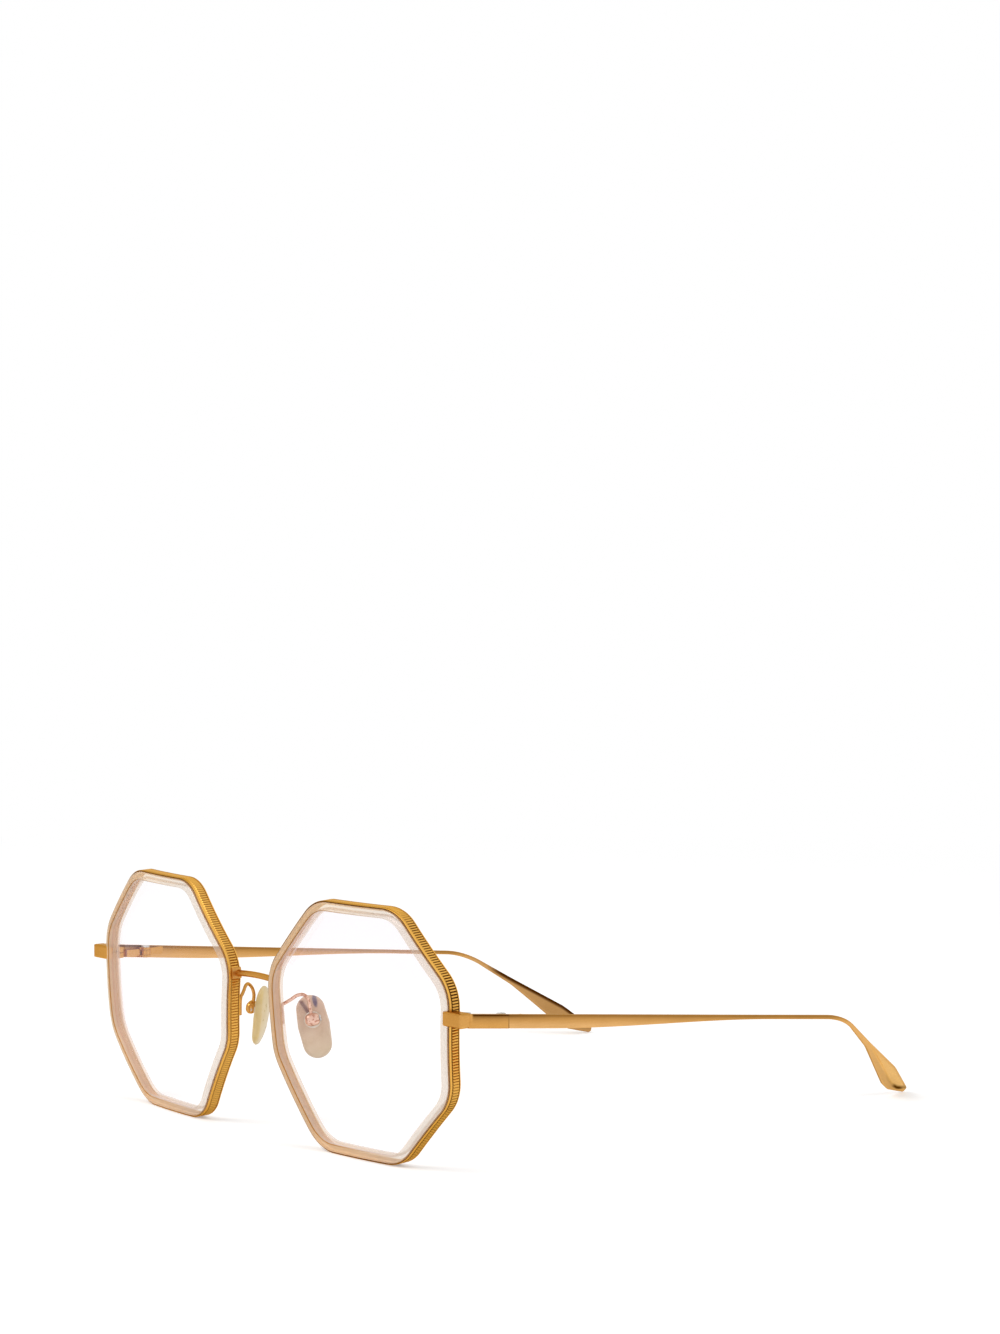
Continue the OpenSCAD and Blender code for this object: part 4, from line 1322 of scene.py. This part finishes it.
def pad_box():
    """The small box that the pad screw passes through, with softly rounded edges."""
    rounding = bpy.context.scene.eyewear_shapes.box_round * 1000
    back = SCREW_OUT + BOX_H / 2
    bm = bmesh.new()
    verts = bmesh.ops.create_cube(bm, size=1)["verts"]
    bmesh.ops.scale(bm, vec=(back - BOX_MOUTH, BOX_W, BOX_H), verts=verts)
    bmesh.ops.translate(bm, vec=((back + BOX_MOUTH) / 2, 0, BOX_UP), verts=verts)
    bmesh.ops.bevel(
        bm, geom=list(bm.edges), offset=rounding, offset_type="OFFSET", segments=6, profile=0.5,
        affect="EDGES", material=-1,
    )
    # Roundings that meet leave strips of no width between them, which are welded shut
    bmesh.ops.remove_doubles(bm, verts=bm.verts, dist=0.0001)
    bm.transform(AT_PAD)
    return bm


# A pad's widest place above its middle as a share of its length, and how much it bulges there
PAD_WIDEST = 0.02
PAD_BULGE = 1.02

# Rings of a pad: its dished back as (size, depth), the depth of its lip, its edge as (size,
# share of that depth), and sizes over its crown
BACK_RINGS = ((0.12, 0.80), (0.3, 0.81), (0.5, 0.83), (0.68, 0.86), (0.82, 0.885), (0.91, 0.88))
PAD_LIP = 0.885
EDGE_RINGS = ((0.955, 0.88), (0.985, 0.72), (1.0, 0.45), (0.985, 0.2), (0.955, 0.05))
CROWN_RINGS = (0.9, 0.8, 0.68, 0.55, 0.4, 0.25, 0.12)


def nose_pad():
    """The left pad: an egg-shaped oval with a crowned face and a dished back."""
    edge = bpy.context.scene.eyewear_shapes.pad_edge * 1000
    end_r = PAD_W * PAD_END_SHARE
    side, end = PAD_W / 2 - end_r, PAD_LEN / 2 - end_r
    widest, bulge_r = PAD_LEN * PAD_WIDEST, end_r * PAD_BULGE
    outline = hull_points([
        (side, widest, bulge_r), (0, end, end_r), (-side, widest, bulge_r), (0, -end, end_r),
    ], count=72)

    def crown(p):
        inner = PAD_FACE - PAD_T + PAD_CROWN_R - math.sqrt(PAD_CROWN_R ** 2 - p.length_squared)
        return min(inner, PAD_FACE - edge)

    def ring(size, depth_at):
        return [Vector((depth_at(p * size), *(p * size))) for p in outline]

    (first_size, first_depth), *back_rings = BACK_RINGS
    skin = Loft(ring(first_size, lambda q: first_depth))
    for size, depth in back_rings:
        skin.ring(ring(size, lambda q: depth))
    for size, share in EDGE_RINGS:
        skin.ring(ring(size, lambda q: crown(q) + (PAD_LIP - crown(q)) * share))
    for size in CROWN_RINGS:
        skin.ring(ring(size, crown))
    skin.shut(Vector((first_depth, 0, 0)), Vector((PAD_FACE - PAD_T, 0, 0)))
    skin.bm.transform(AT_PAD)
    return skin.bm


class EYEWEAR_OT_rims(Operator):
    """Make both metal rims, with their coin edge between two plain borders"""

    bl_idname = "eyewear.rims"
    bl_label = "Make Rims"

    def execute(self, context):
        pair_of(rim_band, "ribbed_rim", rim_gold(), "rim", sharp=35)
        return {"FINISHED"}


class EYEWEAR_OT_rings(Operator):
    """Make both clear inner rings, with the grooves that hold the lenses"""

    bl_idname = "eyewear.rings"
    bl_label = "Make Inner Rings"

    def execute(self, context):
        pair_of(ring_band, "clear_ring", crystal(), "ring", sharp=50)
        return {"FINISHED"}


class EYEWEAR_OT_lenses(Operator):
    """Make both curved lenses"""

    bl_idname = "eyewear.lenses"
    bl_label = "Make Lenses"

    def execute(self, context):
        pair_of(lens_shell, "curved_lens", lens_glass(), "lens", sharp=50)
        return {"FINISHED"}


class EYEWEAR_OT_bridge(Operator):
    """Make the arched bridge bar, a little thicker where it meets its lugs"""

    bl_idname = "eyewear.bridge"
    bl_label = "Make Bridge"

    def execute(self, context):
        piece_from(bridge_bar(), "bridge_bar", "front", gold(), ["bridge"])
        return {"FINISHED"}


class EYEWEAR_OT_pads(Operator):
    """Make both nose pads and the bent wires that carry them"""

    bl_idname = "eyewear.pads"
    bl_label = "Make Nose Pads"

    def execute(self, context):
        pair_of(pad_arm, "bent_pad_arm", wire_gold(), "pad_arm")
        pair_of(pad_box, "rounded_pad_box", wire_gold(), "pad_box")
        bodies = ("pad_left", "pad_right")
        pair_of(nose_pad, "soft_nose_pad", pad_plastic(), "nose_pad", bodies, 60)
        return {"FINISHED"}


class EYEWEAR_OT_temples(Operator):
    """Make both temples: bar, thin wire, bend and flat hollowed tip"""

    bl_idname = "eyewear.temples"
    bl_label = "Make Temples"

    def execute(self, context):
        bodies = ("temple_left", "temple_right")
        pair_of(temple, "slender_temple", temple_gold(), "temple", bodies)
        return {"FINISHED"}


class EYEWEAR_OT_metalwork(Operator):
    """Give the endpieces, hinges, closing barrels, lugs, pad metal and screws their finishes"""

    bl_idname = "eyewear.metalwork"
    bl_label = "Finish Metalwork"

    def execute(self, context):
        finishes = {"screw_steel": steel, "pad_metal": pad_metal, "gold": gold}
        for subpart in frame["record"]["subparts"]:
            if subpart["material_slot"] in finishes:
                node = frame["nodes"][subpart["node"]]
                is_arm = subpart["node"].startswith("endpiece")
                material = arm_gold() if is_arm else finishes[subpart["material_slot"]]()
                for slot in node.material_slots:
                    slot.material = material
        return {"FINISHED"}


# Lamps as their place and width in metres, and the point at which they aim
KEY_PLACE, KEY_WIDTH = (-0.35, -1.0, 1.05), 0.9
FILL_PLACE, FILL_WIDTH = (1.1, 0.35, 0.8), 0.8
LAMP_AIM = Vector((0, 0, 0.03))

# The floor's paler patches, and the distances in metres between which it turns plain white
PALE_FLOOR = (0.90, 0.90, 0.90)
FLOOR_NEAR, FLOOR_FAR = 0.25, 0.60

# The camera's view, fitted to the photo, in degrees and millimetres
CAMERA_TURN = math.radians(50.07)
CAMERA_RISE = math.radians(2.83)
CAMERA_BACK, CAMERA_RIGHT, CAMERA_UP = 683.55, 54.6, 74.66
CAMERA_LENS = 114.264


class EYEWEAR_OT_stage(Operator):
    """Make the pale floor, the soft lamps, the white surroundings and the camera"""

    bl_idname = "eyewear.stage"
    bl_label = "Make Stage"

    def execute(self, context):
        make_floor()
        stage = context.scene.eyewear_stage
        add_lamp("key_lamp", KEY_PLACE, KEY_WIDTH, stage.key_power)
        fill = add_lamp("fill_lamp", FILL_PLACE, FILL_WIDTH, stage.fill_power)
        fill.visible_glossy = False
        light_room(stage.room_level)
        add_camera()
        context.scene.view_settings.view_transform = "Standard"
        return {"FINISHED"}


def seen_directly(sheet):
    """1 for rays from the camera, a reflection or through glass, and 0 for the others."""
    path = sheet.node("ShaderNodeLightPath")
    names = ("Is Camera Ray", "Is Glossy Ray", "Is Transmission Ray")
    rays = [Value(sheet, path.outputs[name]) for name in names]
    return rays[0].larger(rays[1]).larger(rays[2])


def glow(sheet, strength, kind="ShaderNodeEmission"):
    return sheet.value(kind, None, {"Color": (1, 1, 1, 1), "Strength": strength})


@finish("pale_floor")
def floor_paint(sheet):
    """Pale grey that shows the object's shadow, and turns plain white farther away."""
    mottle = sheet.noise(sheet.place(), 3.0, 2.0)
    matte = sheet.surface({
        "Base Color": sheet.blend(mottle, colours().floor, PALE_FLOOR),
        "Roughness": 0.75 + 0.1 * mottle,
    })
    brighter = sheet.value("ShaderNodeAddShader", None, {0: matte, 1: glow(sheet, 0.3)})
    near = sheet.mixed(seen_directly(sheet), matte, brighter)
    away = sheet.value("ShaderNodeVectorMath", {"operation": "LENGTH"}, {0: sheet.place()}, "Value")
    far = away.ramp(FLOOR_NEAR, FLOOR_FAR) * seen_directly(sheet)
    sheet.output(sheet.mixed(far, near, glow(sheet, 1.0)))


def make_floor():
    width = bpy.context.scene.eyewear_stage.floor_width
    bm = bmesh.new()
    bmesh.ops.create_grid(bm, x_segments=1, y_segments=1, size=width / 2)
    mesh = bpy.data.meshes.new("pale_floor")
    bm.to_mesh(mesh)
    bm.free()
    mesh.materials.append(floor_paint())
    floor = bpy.data.objects.new("pale_floor", mesh)
    bpy.context.scene.collection.objects.link(floor)
    floor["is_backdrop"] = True


def add_lamp(name, place, width, power):
    lamp = bpy.data.lights.new(name, "AREA")
    lamp.shape = "DISK"
    lamp.size = width
    lamp.energy = power
    holder = bpy.data.objects.new(name, lamp)
    holder.location = place
    holder.rotation_euler = (LAMP_AIM - Vector(place)).to_track_quat("-Z", "Y").to_euler()
    bpy.context.scene.collection.objects.link(holder)
    return holder


def light_room(level):
    """Soft light of that level from all round, which is white wherever it is seen itself."""
    world = bpy.data.worlds.new("white_room")
    bpy.context.scene.world = world
    world.use_nodes = True
    sheet = Sheet(world.node_tree)
    strength = level + (1.0 - level) * seen_directly(sheet)
    sheet.output(glow(sheet, strength, "ShaderNodeBackground"), "ShaderNodeOutputWorld")


def add_camera():
    flat = math.cos(CAMERA_RISE)
    back = Vector((
        math.sin(CAMERA_TURN) * flat, -math.cos(CAMERA_TURN) * flat, math.sin(CAMERA_RISE),
    ))
    right = Vector((math.cos(CAMERA_TURN), math.sin(CAMERA_TURN), 0))
    up = back.cross(right)
    place = CAMERA_BACK * back + CAMERA_RIGHT * right + CAMERA_UP * up + STANDING.translation
    lens = bpy.data.cameras.new("photo_camera")
    lens.sensor_fit = "HORIZONTAL"
    lens.sensor_width = 36.0
    lens.lens = CAMERA_LENS
    lens.clip_start = 0.01
    lens.clip_end = 100.0
    camera = bpy.data.objects.new("photo_camera", lens)
    axes = Matrix((right, up, back)).transposed().to_4x4()
    camera.matrix_world = Matrix.Translation(place * 0.001) @ axes
    bpy.context.scene.collection.objects.link(camera)
    bpy.context.scene.camera = camera


STEPS = (
    EYEWEAR_OT_rims, EYEWEAR_OT_rings, EYEWEAR_OT_lenses, EYEWEAR_OT_bridge, EYEWEAR_OT_pads,
    EYEWEAR_OT_temples, EYEWEAR_OT_metalwork, EYEWEAR_OT_stage,
)


class EYEWEAR_PT_panel(Panel):
    """Steps and sizes of the eyeglasses"""

    bl_idname = "EYEWEAR_PT_panel"
    bl_label = "Octagonal Eyeglasses"
    bl_space_type = "VIEW_3D"
    bl_region_type = "UI"
    bl_category = "Eyeglasses"

    def draw(self, context):
        column = self.layout.column()
        for step in STEPS:
            column.operator(step.bl_idname)
        for group in GROUPS:
            settings = getattr(context.scene, group)
            for name in GROUPS[group].__annotations__:
                column.prop(settings, name)


GROUPS = {
    "eyewear_rims": EyewearRimSizes,
    "eyewear_shapes": EyewearShapeSizes,
    "eyewear_colours": EyewearColours,
    "eyewear_stage": EyewearStageSizes,
}


def register():
    for kind in (*GROUPS.values(), *STEPS, EYEWEAR_PT_panel):
        bpy.utils.register_class(kind)
    for name, kind in GROUPS.items():
        setattr(bpy.types.Scene, name, PointerProperty(type=kind))


def unregister():
    for name in GROUPS:
        delattr(bpy.types.Scene, name)
    for kind in (EYEWEAR_PT_panel, *reversed(STEPS), *reversed(GROUPS.values())):
        bpy.utils.unregister_class(kind)


def main():
    register()
    for step in STEPS:
        area, name = step.bl_idname.split(".")
        getattr(getattr(bpy.ops, area), name)()
    boxes = {"cad": CAD_BOX, "visual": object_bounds()}
    plain = {name: [[float(n) for n in corner] for corner in box] for name, box in boxes.items()}


if __name__ == "__main__":
    main()
